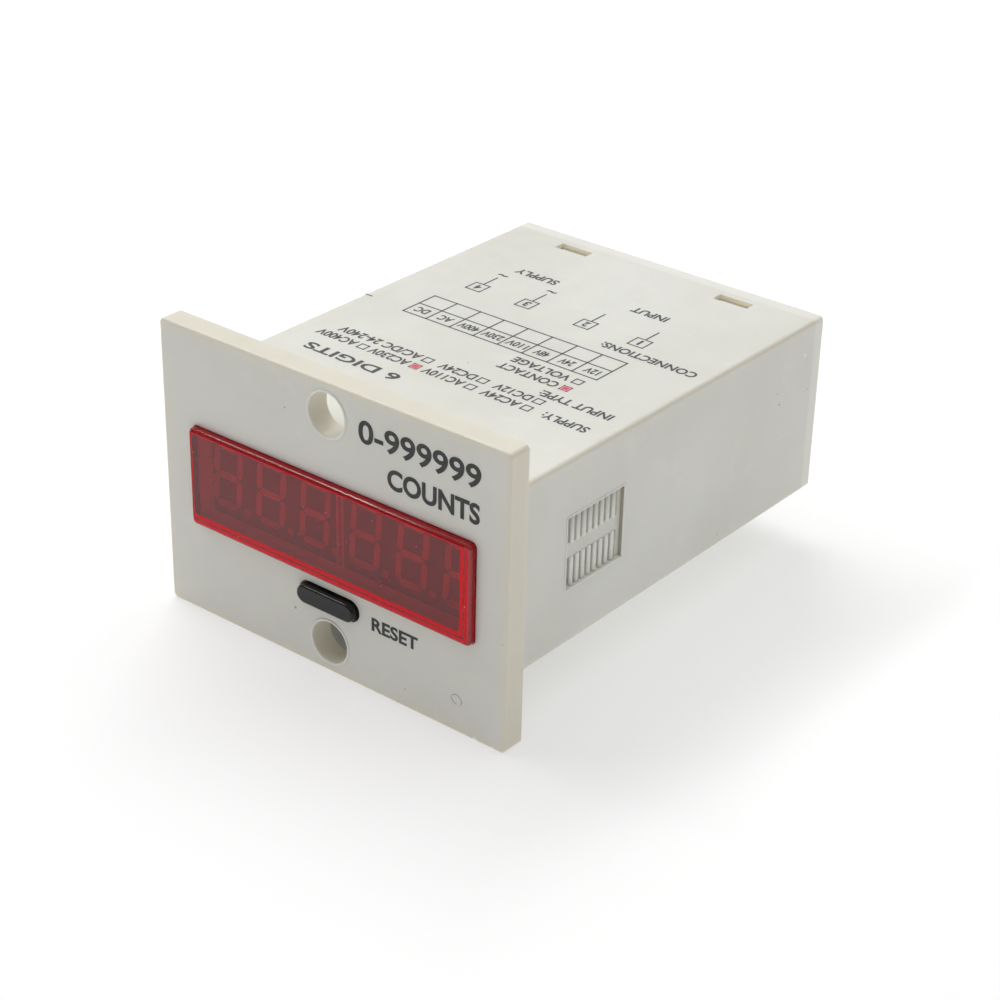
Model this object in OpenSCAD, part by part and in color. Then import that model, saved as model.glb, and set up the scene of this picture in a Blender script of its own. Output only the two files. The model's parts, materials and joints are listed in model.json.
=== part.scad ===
// Panel counter: a six-digit totaliser that stands in a cut-out of a control panel.
// Millimetres. The origin is the centre of the bezel's rear face, the face that meets the panel.
// X runs to the right as seen by the reader, Y runs to the rear, Z runs up.

/* [View] */
// Piece to draw

/* [Bezel] */
// Width of the bezel
bezel_w = 56; // [50:0.5:72]
// Height of the bezel
bezel_h = 40; // [34:0.5:50]
// Thickness of the bezel
bezel_t = 3.2; // [2:0.1:5]
// Corner radius of the bezel's outline
bezel_corner = 0.7; // [0.5:0.1:4]
// Rounding of the bezel's front edge
bezel_edge = 0.3; // [0.2:0.1:1]
// Radius of the two screw holes
hole_r = 2.9; // [1.6:0.1:3.2]
// Distance between the screw holes
hole_pitch = 31.5; // [28:0.5:36]
// Rounding of the screw holes' rims
hole_rim = 0.3; // [0.1:0.05:0.5]

/* [Body] */
// Width of the sleeve behind the bezel
body_w = 50.6; // [48:0.1:52]
// Height of the sleeve behind the bezel
body_h = 25.6; // [24:0.1:27]
// Depth of the sleeve behind the bezel
body_d = 66.6; // [60:0.1:90]
// Corner radius of the sleeve's section
body_corner = 0.7; // [0.4:0.1:2]
// Rounding of the sleeve's rear edge
body_edge = 0.3; // [0.2:0.1:1]
// Thickness of the side walls
side_wall = 1.8; // [1.2:0.1:2.5]
// Thickness of the top and bottom walls
top_wall = 1.4; // [1:0.1:2]
// Thickness of the front wall around the window
front_wall = 1.8; // [1.2:0.1:2.4]
// Width of the posts that stop the display board
post_w = 1.3; // [0.8:0.1:1.6]
// Gap between the posts and the lens's ledge
post_gap = 0.2; // [0.1:0.05:0.4]
// Width of the rails that hold the main board
rail_w = 0.9; // [0.6:0.1:1.2]
// Thickness of the rails that hold the main board
rail_t = 1.0; // [0.6:0.1:1.4]
// Distance of the rails behind the main board's front edge
rail_in = 1.15; // [0.5:0.05:4]
// Width of the ribs that stop the rear cover
rib_w = 1.2; // [0.8:0.1:1.6]
// Height of the ribs that stop the rear cover
rib_h = 3.4; // [2:0.1:5]
// Length of the ribs that stop the rear cover
rib_l = 8; // [4:0.5:12]

/* [Vents] */
// Length of each vent pocket, front to rear
vent_l = 11.25; // [8:0.25:16]
// Height of each vent pocket
vent_h = 9.9; // [6:0.1:14]
// Distance of the pocket behind the bezel
vent_y = 11.25; // [8:0.25:30]
// Depth of the pocket in the wall
vent_recess = 0.5; // [0.2:0.05:0.8]
// Slots in each row
vent_slots = 9; // [5:1:12]
// Distance between slots
vent_pitch = 1.17; // [1:0.01:2]
// Width of a slot
vent_slot = 0.55; // [0.4:0.05:1]
// Height of the plain band between the rows
vent_band = 2.0; // [1:0.1:4]
// Distance of the slots from the pocket's top and bottom
vent_lip = 0.1; // [0.1:0.05:0.6]

/* [Snap windows] */
// Width of a snap window
snap_w = 5.4; // [4:0.1:8]
// Length of a snap window, front to rear
snap_l = 1.8; // [1:0.1:3]
// Distance of a snap window from the middle
snap_x = 13.5; // [8:0.1:18]
// Distance of the snap windows from the sleeve's rear edge
snap_back = 4.2; // [2.6:0.1:8.6]
// Gap around a hook in its window
snap_fit = 0.2; // [0.1:0.05:0.3]
// Height of a hook in its window
hook_h = 0.7; // [0.4:0.1:1]
// Length of the flat on a hook
hook_flat = 0.6; // [0.3:0.1:0.8]

/* [Lens] */
// How far the lens stands proud of the bezel
lens_proud = 1.0; // [0.2:0.1:2]
// Thickness of the lens's front
lens_t = 1.2; // [0.8:0.1:1.6]
// Thickness of the lens's rim
lens_wall = 1.0; // [0.6:0.1:1.4]
// Corner radius of the lens
lens_corner = 0.65; // [0.4:0.05:1]
// Rounding of the lens's front edge
lens_edge = 0.3; // [0.1:0.05:0.4]
// Corner radius of the hollow behind the lens's front
lens_hollow = 0.4; // [0.2:0.05:0.6]
// Gap between the lens and its window
lens_gap = 0.1; // [0.05:0.05:0.3]
// Sideways offset of the lens
lens_x = 0.2; // [-0.3:0.05:0.3]
// Upward offset of the lens
lens_z = 0.1; // [-0.3:0.05:0.3]
// Thickness of the ledge that keeps the lens in
ledge_t = 0.9; // [0.6:0.1:1.4]
// Width of the ledge at the lens's ends
ledge_end = 0.25; // [0.1:0.05:0.5]
// Width of the ledge above and below the lens
ledge_top = 1.2; // [0.6:0.1:1.4]
// Corner radius of the ledge
ledge_corner = 0.6; // [0.3:0.1:1]
// Gap between the ledge and the side walls
ledge_fit = 0.3; // [0.3:0.05:0.8]

/* [Key] */
// Width of the key
key_w = 9.4; // [6:0.1:12]
// Height of the key
key_h = 2.5; // [2:0.1:2.8]
// How far the key stands proud of the bezel
key_proud = 1.0; // [0.4:0.1:2]
// Gap between the key and its slot
key_gap = 0.3; // [0.1:0.05:0.4]
// Height of the key's slot above the floor of the sleeve
key_land = 0.05; // [0:0.05:0.4]
// Rounding of the key's front edge
key_edge = 0.3; // [0.1:0.05:0.5]
// Travel of the key
key_travel = 0.4; // [0.2:0.05:0.45]
// How far the key's flange reaches beyond the key at each end
flange_end = 1.5; // [0.8:0.1:2.5]
// How far the key's flange reaches above and below the key
flange_top = 0.1; // [0.05:0.05:0.2]
// Thickness of the key's flange
flange_t = 1.0; // [0.6:0.1:1.4]
// Width of the key's stem
stem_w = 3.0; // [2:0.1:4]
// Height of the key's stem
stem_h = 2.0; // [1.6:0.1:2.2]

/* [Switch] */
// Width of the switch
switch_w = 6.0; // [5:0.1:7]
// Height of the switch
switch_h = 3.5; // [3.2:0.1:4]
// Depth of the switch's housing
switch_d = 2.6; // [2.4:0.1:3]
// Gap between the switch and the floor of the sleeve
switch_gap = 0.25; // [0.2:0.05:0.5]
// Thickness of the housing behind the dome
switch_base = 0.8; // [0.5:0.1:1]
// Radius of the housing's cup
cup_r = 1.45; // [1.4:0.05:1.5]
// Thickness of the switch's steel shell
shell_t = 0.3; // [0.2:0.05:0.4]
// Width of the shell's legs
shell_leg = 2.0; // [1:0.1:2.4]
// How far the shell's legs stand out behind the board
shell_tail = 0.4; // [0.2:0.1:0.8]
// Radius of the plunger
plunger_r = 0.95; // [0.8:0.05:1.1]
// Gap between the plunger and the shell
plunger_gap = 0.1; // [0.05:0.05:0.2]
// How far the plunger stands out of the shell
plunger_out = 1.6; // [1:0.1:2.2]
// Radius of the plunger's collar
collar_r = 1.35; // [1.2:0.05:1.38]
// Thickness of the plunger's collar
collar_t = 0.4; // [0.3:0.05:0.5]
// Radius of the plunger's foot
foot_r = 0.6; // [0.4:0.05:0.8]
// Radius of the snap dome's rim
dome_r = 1.3; // [1.1:0.05:1.35]
// Thickness of the snap dome
dome_t = 0.12; // [0.08:0.01:0.2]
// Rise of the dome that is left when the key is down
dome_spare = 0.3; // [0.2:0.05:0.4]
// Distance of a switch pin from the middle
switch_pin_x = 1.8; // [1.5:0.1:2.2]
// Width of a switch pin
switch_pin_w = 0.6; // [0.4:0.05:0.8]
// Thickness of a switch pin
switch_pin_t = 0.3; // [0.2:0.05:0.4]
// How far a switch pin stands out behind the board
switch_pin_tail = 1.0; // [0.6:0.1:1.4]

/* [Displays] */
// Depth of one display module
led_d = 7.2; // [6:0.1:8]
// Gap between the two modules
led_gap = 0.6; // [0.3:0.1:1]
// Gap between a module and the side wall
led_fit = 0.6; // [0.3:0.1:1]
// Gap between a module and the switch below it
led_clear = 0.65; // [0.3:0.05:1]
// How much a module is taller than the lens
led_over = 0.4; // [0:0.1:2]
// Width of a digit
digit_w = 4.9; // [4:0.1:6]
// Height of a digit
digit_h = 9.1; // [7:0.1:10]
// Width of a segment
seg_t = 0.9; // [0.5:0.05:1.2]
// Depth of a segment in the module's face
seg_d = 0.4; // [0.3:0.05:0.8]
// Gap between segments
seg_gap = 0.16; // [0.1:0.02:0.3]
// Gap around a segment in its pocket
seg_fit = 0.03; // [0.02:0.01:0.06]
// Slant of the digits in degrees
digit_slant = 4; // [0:1:10]
// Distance of the point's middle from its digit
point_x = 0.75; // [0.6:0.05:0.9]
// Height of the point's middle above its digit's foot
point_z = 0.5; // [0.3:0.05:0.8]
// Radius of the point
point_r = 0.52; // [0.3:0.02:0.6]
// Width of the module's face outside the last point
digit_edge = 0.13; // [0.1:0.01:0.6]
// Radius of a module's pin
led_pin_r = 0.25; // [0.2:0.05:0.3]
// Distance between a module's pins
led_pin_pitch = 2.54; // [2:0.01:2.6]
// Height of a module's pin rows above and below its middle
led_pin_row = 5.08; // [4:0.01:5.5]

/* [Boards] */
// Thickness of both boards
board_t = 1.6; // [1:0.1:2]
// Gap between a board's edge and the sleeve
board_fit = 0.3; // [0.2:0.05:0.5]
// Height of the main board above the floor of the sleeve
board_rise = 2.0; // [1.8:0.1:3]
// Gap between the two boards
board_gap = 0.05; // [0.02:0.01:0.1]
// Gap around tongues, rails, legs and prongs in their slots
slot_fit = 0.1; // [0.05:0.05:0.2]
// Gap around a lead in its hole
lead_fit = 0.13; // [0.08:0.01:0.2]
// How far leads stand out behind a board
lead_tail = 1.1; // [0.6:0.1:1.4]
// Distance of the tongues from the middle
tongue_x = 12; // [10:0.5:14]
// Width of a tongue
tongue_w = 8; // [4:0.5:10]
// How far a tongue comes out of the display board
tongue_out = 0.5; // [0.3:0.1:1]
// Space beside the switch's shell in the main board's relief
relief_side = 1.3; // [0.5:0.1:2]
// Depth of the main board's relief
relief_d = 1.8; // [1.3:0.1:2.2]
// Distance of the first solder fillet from the middle
solder_x = 6; // [5.5:0.1:8]
// Distance between solder fillets
solder_pitch = 2.54; // [2:0.01:2.6]
// Width of a solder fillet
solder_w = 1.4; // [1:0.1:1.8]
// Height of a solder fillet
solder_h = 1.0; // [0.6:0.1:1.2]

/* [Chips] */
// Distance between a chip's pins
chip_pitch = 2.54; // [2:0.01:2.6]
// Distance of a chip's pin rows from its middle
chip_row = 3.81; // [3.6:0.01:4]
// Width of a chip
chip_w = 6.4; // [6:0.1:6.6]
// Thickness of a chip
chip_t = 3.4; // [2.5:0.1:4]
// Gap between a chip and its board
chip_stand = 0.5; // [0.2:0.1:1]
// How much shorter a chip is than its pins' pitches
chip_end = 0.3; // [0.2:0.1:0.6]
// Width of a chip's pin at its shoulder
chip_pin_w = 1.3; // [1:0.1:1.5]
// Width of a chip's pin at its tip
chip_tip_w = 0.6; // [0.4:0.05:0.7]
// Thickness of a chip's pin
chip_pin_t = 0.25; // [0.2:0.05:0.3]
// Radius of the notch in a chip's end
notch_r = 0.9; // [0.5:0.1:1.2]
// Depth of the notch in a chip's end
notch_d = 1.0; // [0.5:0.1:1.5]
// Radius of the dimple by a chip's first pin
dimple_r = 0.5; // [0.3:0.1:0.7]
// Depth of the dimple by a chip's first pin
dimple_d = 0.3; // [0.1:0.1:0.5]
// Distance of the dimple from a chip's end
dimple_x = 1.6; // [1.5:0.1:2]
// Distance of the dimple from a chip's side
dimple_y = 1.4; // [1:0.1:1.6]
// Pins on each side of the controller
controller_n = 10; // [8:1:10]
// Pins on each side of the memory
memory_n = 4; // [3:1:4]
// Pins on each side of the optocoupler
opto_n = 2; // [2:1:3]

/* [Main board layout] */
// Share of the free room that lies left of the chips' row
chips_lean = 0.326; // [0:0.001:1]
// Share of the free room that lies left of the drivers
drivers_lean = 0.516; // [0:0.001:1]
// Gap between the controller and the crystal
crystal_gap = 1.2; // [0.4:0.05:2]
// Gap between the crystal and the memory
memory_gap = 0.92; // [0.4:0.01:2]
// Gap between the left rail and the first resistor
resistor_gap = 0.35; // [0.2:0.05:1]
// Gap between the left rail and the film capacitor
film_gap = 1.6; // [0.5:0.1:3]
// Gap between the left rail and the leads of the first diode
diode_gap = 2.17; // [0.5:0.01:3]
// Gap between the right rail and the optocoupler
opto_gap = 2.21; // [0.5:0.01:3]
// Gap between the optocoupler and the filter capacitor
filter_gap = 3.61; // [0.5:0.01:6]
// Distance of the chips from the board's rear edge
chips_back = 37.9; // [36:0.1:39]
// Distance of the crystal from the board's rear edge
crystal_back = 36.9; // [36:0.1:38]
// Distance of the resistors from the board's rear edge
resistors_back = 26.9; // [26:0.1:28]
// Distance of the front drivers from the board's rear edge
drivers_back = 27.9; // [27:0.1:29]
// Distance of the front diodes from the board's rear edge
diodes_back = 19.1; // [19:0.1:20]
// Distance of the optocoupler from the board's rear edge
opto_back = 12.9; // [9:0.1:14]
// Distance of the filter capacitor from the board's rear edge
filter_back = 11.9; // [9:0.1:12]
// Distance of the film capacitor from the board's rear edge
film_back = 9.7; // [9:0.1:10]

/* [Pieces on the main board] */
// Distance between the two holes of a resistor or a diode
lead_span = 10.16; // [8:0.01:10.5]
// Width of the crystal's can
crystal_w = 4.4; // [4:0.1:4.6]
// Length of the crystal's can
crystal_l = 10.6; // [10:0.1:11]
// Height of the crystal's can
crystal_h = 3.5; // [3:0.1:4]
// How far the crystal's rim reaches beyond its can's sides
crystal_rim_w = 0.25; // [0.1:0.05:0.4]
// How far the crystal's rim reaches beyond its can's ends
crystal_rim_l = 0.35; // [0.1:0.05:0.5]
// Thickness of the crystal's rim
crystal_rim_t = 0.5; // [0.3:0.1:0.8]
// Distance of a crystal lead from the middle
crystal_lead_y = 2.44; // [2:0.01:3]
// Radius of a crystal lead
crystal_lead_r = 0.22; // [0.2:0.01:0.3]
// Radius of a resistor between its ends
resistor_r = 1.05; // [0.8:0.05:1.15]
// Radius of a resistor's ends
resistor_end_r = 1.25; // [1.2:0.05:1.3]
// Length of a resistor
resistor_l = 6.2; // [5:0.1:7]
// Length of a resistor's end
resistor_end_l = 1.4; // [1:0.1:2]
// Distance between resistors
resistor_pitch = 3.0; // [2.7:0.05:3.1]
// Radius of a resistor lead
resistor_lead_r = 0.28; // [0.2:0.02:0.3]
// Gap between the board and the pieces that lie on it
lie_gap = 0.05; // [0.02:0.01:0.3]
// Radius of a driver's case
driver_r = 2.35; // [2:0.05:2.4]
// Distance of a driver's flat from its middle
driver_flat = 1.3; // [1:0.1:1.6]
// Height of a driver's case
driver_h = 4.6; // [4:0.1:5]
// Height of a driver's case above the board
driver_stand = 2.4; // [1:0.1:4]
// Distance between a driver's leads
driver_lead_pitch = 1.27; // [1.2:0.01:1.4]
// Width of a driver's lead
driver_lead_w = 0.4; // [0.3:0.05:0.45]
// Distance between drivers, both ways
driver_pitch = 6; // [5:0.1:6.4]
// Radius of a diode
diode_r = 1.35; // [1:0.05:1.4]
// Length of a diode
diode_l = 5.2; // [4:0.1:6]
// Distance between diodes, front to rear
diode_pitch = 3.2; // [2.9:0.1:3.4]
// Distance between diodes, left to right
diode_step = 12; // [11.5:0.1:13]
// Radius of a diode lead
diode_lead_r = 0.35; // [0.3:0.05:0.4]
// Radius of the filter capacitor
filter_r = 4; // [3:0.1:4]
// Height of the filter capacitor
filter_h = 12; // [8:0.5:16]
// Height of the filter capacitor's foot, and of the groove above it
filter_foot = 0.8; // [0.5:0.1:1.5]
// Depth of the groove above the filter capacitor's foot
filter_groove = 0.3; // [0.1:0.05:0.4]
// Bevel at the filter capacitor's top
filter_bevel = 0.4; // [0.2:0.1:0.8]
// Distance of a filter capacitor lead from the middle
filter_lead_x = 1.75; // [1.2:0.05:2.5]
// Radius of a filter capacitor lead
filter_lead_r = 0.3; // [0.2:0.05:0.4]
// Width of the film capacitor
film_w = 18; // [12:0.5:18]
// Depth of the film capacitor
film_d = 8.5; // [6:0.1:9]
// Height of the film capacitor
film_h = 14; // [10:0.5:16]
// Corner radius of the film capacitor
film_corner = 0.8; // [0.6:0.1:1.2]
// Edge rounding of the film capacitor
film_edge = 0.5; // [0.2:0.1:0.6]
// Distance of a film capacitor lead from the middle
film_lead_x = 7.5; // [5:0.1:8]
// Radius of a film capacitor lead
film_lead_r = 0.35; // [0.3:0.05:0.4]

/* [Terminals] */
// Number of screw terminals
term_n = 4; // [2:2:6]
// Radius of a terminal screw's thread
term_screw_r = 1.5; // [1.25:0.25:2]
// Depth of the rear cover with its bays, up to the sleeve's rear edge
cover_d = 10.6; // [9:0.1:13]
// How far the cover stays inside the sleeve's rear edge
cover_in = 0.4; // [0.2:0.1:1]
// Thickness of the cover's floor
cover_t = 1.6; // [1:0.1:2]
// Thickness of the cover's rim and of the barriers
cover_wall = 1.4; // [1:0.1:1.8]
// Gap between the cover and the sleeve
cover_fit = 0.2; // [0.1:0.05:0.3]
// Gap between the main board and the cover
cover_gap = 0.1; // [0.05:0.05:0.2]
// Gap around a screw in the cover
screw_fit = 0.25; // [0.1:0.05:0.4]
// Gap around a screw in its washer
washer_fit = 0.15; // [0.1:0.05:0.3]
// Gap around a screw in its plate
thread_fit = 0.05; // [0.02:0.01:0.1]
// How far a screw comes out in front of the cover's floor
screw_tail = 1.4; // [0.5:0.1:2]
// Radius of a screw's head
head_r = 2.8; // [2.5:0.1:3.2]
// Height of a screw's head below its crown
head_t = 1.7; // [1.4:0.1:2.2]
// Height and bevel of a screw's crown
crown = 0.5; // [0.2:0.1:0.8]
// Width of the cross in a screw's head
cross_w = 0.8; // [0.6:0.1:1]
// Length of the cross in a screw's head
cross_l = 3.8; // [3:0.1:4.4]
// Depth of the cross in a screw's head
cross_d = 1.3; // [0.8:0.1:1.5]
// Gap between a terminal plate and the barriers
plate_fit = 0.95; // [0.3:0.05:1.5]
// Thickness of a terminal plate
plate_t = 1.0; // [0.6:0.1:1.2]
// Height of a terminal plate above the screw's middle
plate_up = 4.4; // [3.5:0.1:6]
// Width of a clamp washer's border of bare plate
washer_in = 0.5; // [0.2:0.1:1]
// Thickness of a clamp washer
washer_t = 0.8; // [0.5:0.1:1]
// Width of a terminal's tail
tail_w = 3.0; // [2:0.1:4]
// Thickness of a terminal's tail
tail_t = 0.8; // [0.5:0.1:1]
// Length of a terminal's tail in front of the cover
tail_l = 4.0; // [3:0.1:4.2]
// Gap around a terminal's tail in the cover
tail_fit = 0.15; // [0.1:0.05:0.3]
// Width of the prong at a tail's end
prong_w = 1.2; // [0.8:0.1:1.6]

/* [Hidden] */
$fn = 64;
// a cutter's overrun, and the overlap of two shapes of one piece
over = 1;
lap = 0.5;
// inside of the sleeve
in_w = body_w - 2 * side_wall;
in_h = body_h - 2 * top_wall;
in_y = -bezel_t + front_wall;
snap_y = body_d - snap_back;
// the displays fill the width of the sleeve and stand above the switch
led_y = in_y + ledge_t;
led_w = (in_w - 2 * led_fit - led_gap) / 2;
led_h = in_h - 2 * (switch_gap + switch_h + led_clear);
led_x = (led_gap + led_w) / 2;
digit_pitch = (led_w - digit_w) / 2 - point_x - point_r - digit_edge;
led_pin_x = [for (i = [0 : 5]) (i - 2.5) * led_pin_pitch];
led_pin_z = [-led_pin_row, led_pin_row];
// the lens covers the displays
lens_y = -bezel_t - lens_proud;
ledge_w = in_w - 2 * ledge_fit;
lens_w = ledge_w - 2 * ledge_end;
lens_h = led_h - led_over;
ledge_h = lens_h + 2 * ledge_top;
// the display board
dboard_y = led_y + led_d;
dboard_end = dboard_y + board_t;
dboard_w = in_w - 2 * board_fit;
dboard_h = in_h - 2 * board_fit;
// the rear cover
cover_y = body_d - cover_d;
cover_w = in_w - 2 * cover_fit;
cover_h = in_h - 2 * cover_fit;
cover_end = body_d - cover_in;
bay_w = cover_w / 2 - cover_wall;
bay_h = cover_h / 2 - cover_wall;
// the terminals share the cover's width
term_pitch = (2 * bay_w + cover_wall) / term_n;
term_x = [for (i = [0 : term_n - 1]) (i - (term_n - 1) / 2) * term_pitch];
plate_y = cover_y + cover_t;
plate_w = term_pitch - cover_wall - 2 * plate_fit;
washer_y = plate_y + plate_t;
washer_w = plate_w - 2 * washer_in;
head_y = washer_y + washer_t;
head_end = head_y + head_t + crown;
tail_y = cover_y - tail_l;
// the main board, from its underside to its top
mboard_z = -in_h / 2 + board_rise;
mboard_top = mboard_z + board_t;
mboard_y = dboard_end + board_gap;
mboard_end = cover_y - cover_gap;
mboard_w = in_w - 2 * board_fit;
lead_end = mboard_z - lead_tail;
// the key and its switch
key_y = -bezel_t - key_proud;
key_z = -in_h / 2 + key_land + key_gap + key_h / 2;
switch_z = -in_h / 2 + switch_gap + switch_h / 2;
switch_y = dboard_y - switch_d;
cup_y = dboard_y - switch_base;
dome_rise = key_travel + dome_spare;
plunger_y = switch_y - shell_t - plunger_out;
shell_x = (switch_w + shell_t) / 2;
// layout of the main board between its rails, as [x, y] of each piece's middle
function chip_l(n) = n * chip_pitch - chip_end;
left_x = -in_w / 2 + rail_w;
right_x = in_w / 2 - rail_w;
crystal_full = crystal_w + 2 * crystal_rim_w;
chips_l = chip_l(controller_n) + crystal_gap + crystal_full + memory_gap + chip_l(memory_n);
chips_x = left_x + chips_lean * (right_x - left_x - chips_l);
crystal_x = chips_x + chip_l(controller_n) + crystal_gap;
controller_at = [chips_x + chip_l(controller_n) / 2, mboard_end - chips_back];
crystal_at = [crystal_x + crystal_full / 2, mboard_end - crystal_back];
memory_at = [crystal_x + crystal_full + memory_gap + chip_l(memory_n) / 2, mboard_end - chips_back];
resistor_x = left_x + resistor_gap + resistor_end_r;
resistors_end = resistor_x + 7 * resistor_pitch + resistor_end_r;
resistor_at = [for (i = [0 : 7]) [resistor_x + i * resistor_pitch, mboard_end - resistors_back]];
drivers_l = 2 * driver_pitch + 2 * driver_r;
driver_x = resistors_end + drivers_lean * (right_x - resistors_end - drivers_l) + driver_r;
driver_at = [for (i = [0 : 2], k = [0, 1])
  [driver_x + i * driver_pitch, mboard_end - drivers_back + k * driver_pitch]];
diode_x = left_x + diode_gap + diode_lead_r + lead_span / 2;
diode_at = [for (i = [0, 1], k = [0, 1])
  [diode_x + i * diode_step, mboard_end - diodes_back + k * diode_pitch]];
film_at = [left_x + film_gap + film_w / 2, mboard_end - film_back];
opto_at = [right_x - opto_gap - chip_l(opto_n) / 2, mboard_end - opto_back];
filter_at = [right_x - opto_gap - chip_l(opto_n) - filter_gap - filter_r, mboard_end - filter_back];

// Colours of the finishes that repeat
cream = [0.88, 0.87, 0.83];
tinned = [0.76, 0.76, 0.75];
green = [0.12, 0.40, 0.24];
epoxy = [0.11, 0.11, 0.12];

// Shapes that repeat

// Whether a stadium is left when the corners meet
function flat_ends(h, r) = h - 2 * r > 0.001;

// A rectangle with round corners
module rounded_rect(w, h, r) {
  square([w - 2 * r, h], center = true);
  if (flat_ends(h, r)) square([w, h - 2 * r], center = true);
  for (sx = [-1, 1], sy = flat_ends(h, r) ? [-1, 1] : [0])
    translate([sx * (w / 2 - r), sy * (h / 2 - r)]) circle(r);
}

// A block that stands on Z = 0, with round corners and a rounding r along its upper edge
module soft_block(w, h, d, corner, r) {
  linear_extrude(d - r) rounded_rect(w, h, corner);
  translate([0, 0, d - r]) {
    linear_extrude(r) rounded_rect(w - 2 * r, h - 2 * r, corner - r);
    for (s = [-1, 1])
      translate([-(w / 2 - corner), s * (h / 2 - r), 0])
        rotate([0, 90, 0]) cylinder(r = r, h = w - 2 * corner);
    if (flat_ends(h, corner))
      for (s = [-1, 1])
        translate([s * (w / 2 - r), -(h / 2 - corner), 0])
          rotate([-90, 0, 0]) cylinder(r = r, h = h - 2 * corner);
    for (sx = [-1, 1], sy = flat_ends(h, corner) ? [-1, 1] : [0])
      translate([sx * (w / 2 - corner), sy * (h / 2 - corner), 0])
        rotate_extrude() {
          square([corner - r, r]);
          intersection() {
            translate([corner - r, 0]) circle(r);
            translate([corner - r, 0]) square(2 * r);
          }
        }
  }
}

// Turns a shape that stands on Z so that it runs from y0 to the front
module to_front(y0) {
  translate([0, y0, 0]) rotate([90, 0, 0]) children();
}

// Turns a shape that stands on Z so that it runs from y0 to the rear
module to_rear(y0) {
  translate([0, y0, 0]) rotate([-90, 0, 0]) children();
}

// Puts a shape that is drawn in the upper right corner into another corner
module in_corner(sx, sz) {
  mirror([sx < 0 ? 1 : 0, 0, 0]) mirror([0, 0, sz < 0 ? 1 : 0]) children();
}

// A box given by its lowest and highest corners
module span(a, b) {
  translate(a) cube(b - a);
}

// A round wire that leaves a piece level and turns down into the board
module bent_lead(from, to, r) {
  a = atan2(to[1] - from[1], to[0] - from[0]);
  translate(from) rotate([0, 0, a]) rotate([0, 90, 0]) cylinder(r = r, h = norm(to - from));
  translate(to) sphere(r);
  straight_lead([to[0], to[1]], to[2], r);
}

// A round wire straight down through the board
module straight_lead(at, top, r) {
  translate([at[0], at[1], lead_end]) cylinder(r = r, h = top - lead_end);
}

// A hole through the main board for a wire
module board_hole(at, r) {
  translate([at[0], at[1], mboard_z - over]) cylinder(r = r + lead_fit, h = board_t + 2 * over);
}

// A chip's body, with its notch and the dimple that marks its first pin
module chip_body(at, n) {
  x0 = -chip_l(n) / 2;
  translate([at[0], at[1], mboard_top + chip_stand]) difference() {
    translate([x0, -chip_w / 2, 0]) cube([chip_l(n), chip_w, chip_t]);
    translate([x0, 0, chip_t - notch_d]) cylinder(r = notch_r, h = notch_d + over);
    translate([x0 + dimple_x, -chip_w / 2 + dimple_y, chip_t - dimple_d])
      cylinder(r = dimple_r, h = dimple_d + over);
  }
}

// The two rows of a chip's pins
module chip_pins(at, n) {
  z = mboard_top + chip_stand + chip_t / 2;
  k = chip_pin_t / 2;
  for (i = [0 : n - 1], s = [-1, 1])
    translate([at[0] + (i - (n - 1) / 2) * chip_pitch, at[1], 0]) {
      y0 = s > 0 ? chip_w / 2 : -chip_row - k;
      y1 = s > 0 ? chip_row + k : -chip_w / 2;
      span([-chip_pin_w / 2, y0, z - k], [chip_pin_w / 2, y1, z + k]);
      span([-chip_tip_w / 2, s * chip_row - k, lead_end], [chip_tip_w / 2, s * chip_row + k, z]);
    }
}

// The board's holes for a chip's pins
module chip_holes(at, n) {
  for (i = [0 : n - 1], s = [-1, 1])
    board_hole([at[0] + (i - (n - 1) / 2) * chip_pitch, at[1] + s * chip_row],
               norm([chip_tip_w, chip_pin_t]) / 2);
}

// The case

// The two rows of slots and the shallow pocket in the right wall
module vent_cut() {
  x0 = body_w / 2;
  ym = vent_y + vent_l / 2;
  span([x0 - vent_recess, vent_y, -vent_h / 2], [x0 + over, vent_y + vent_l, vent_h / 2]);
  for (i = [0 : vent_slots - 1], s = [-1, 1]) {
    y = ym + (i - (vent_slots - 1) / 2) * vent_pitch;
    z0 = s > 0 ? vent_band / 2 : -vent_h / 2 + vent_lip;
    z1 = s > 0 ? vent_h / 2 - vent_lip : -vent_band / 2;
    span([x0 - side_wall - over, y - vent_slot / 2, z0], [x0 + over, y + vent_slot / 2, z1]);
  }
}

// A screw hole with a rounded front rim
module screw_hole() {
  to_front(over) cylinder(r = hole_r, h = bezel_t + 2 * over);
  to_rear(-bezel_t) rotate_extrude() difference() {
    translate([0, -lap]) square([hole_r + hole_rim, lap + hole_rim]);
    translate([hole_r + hole_rim, hole_rim]) circle(hole_rim);
  }
}

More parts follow.
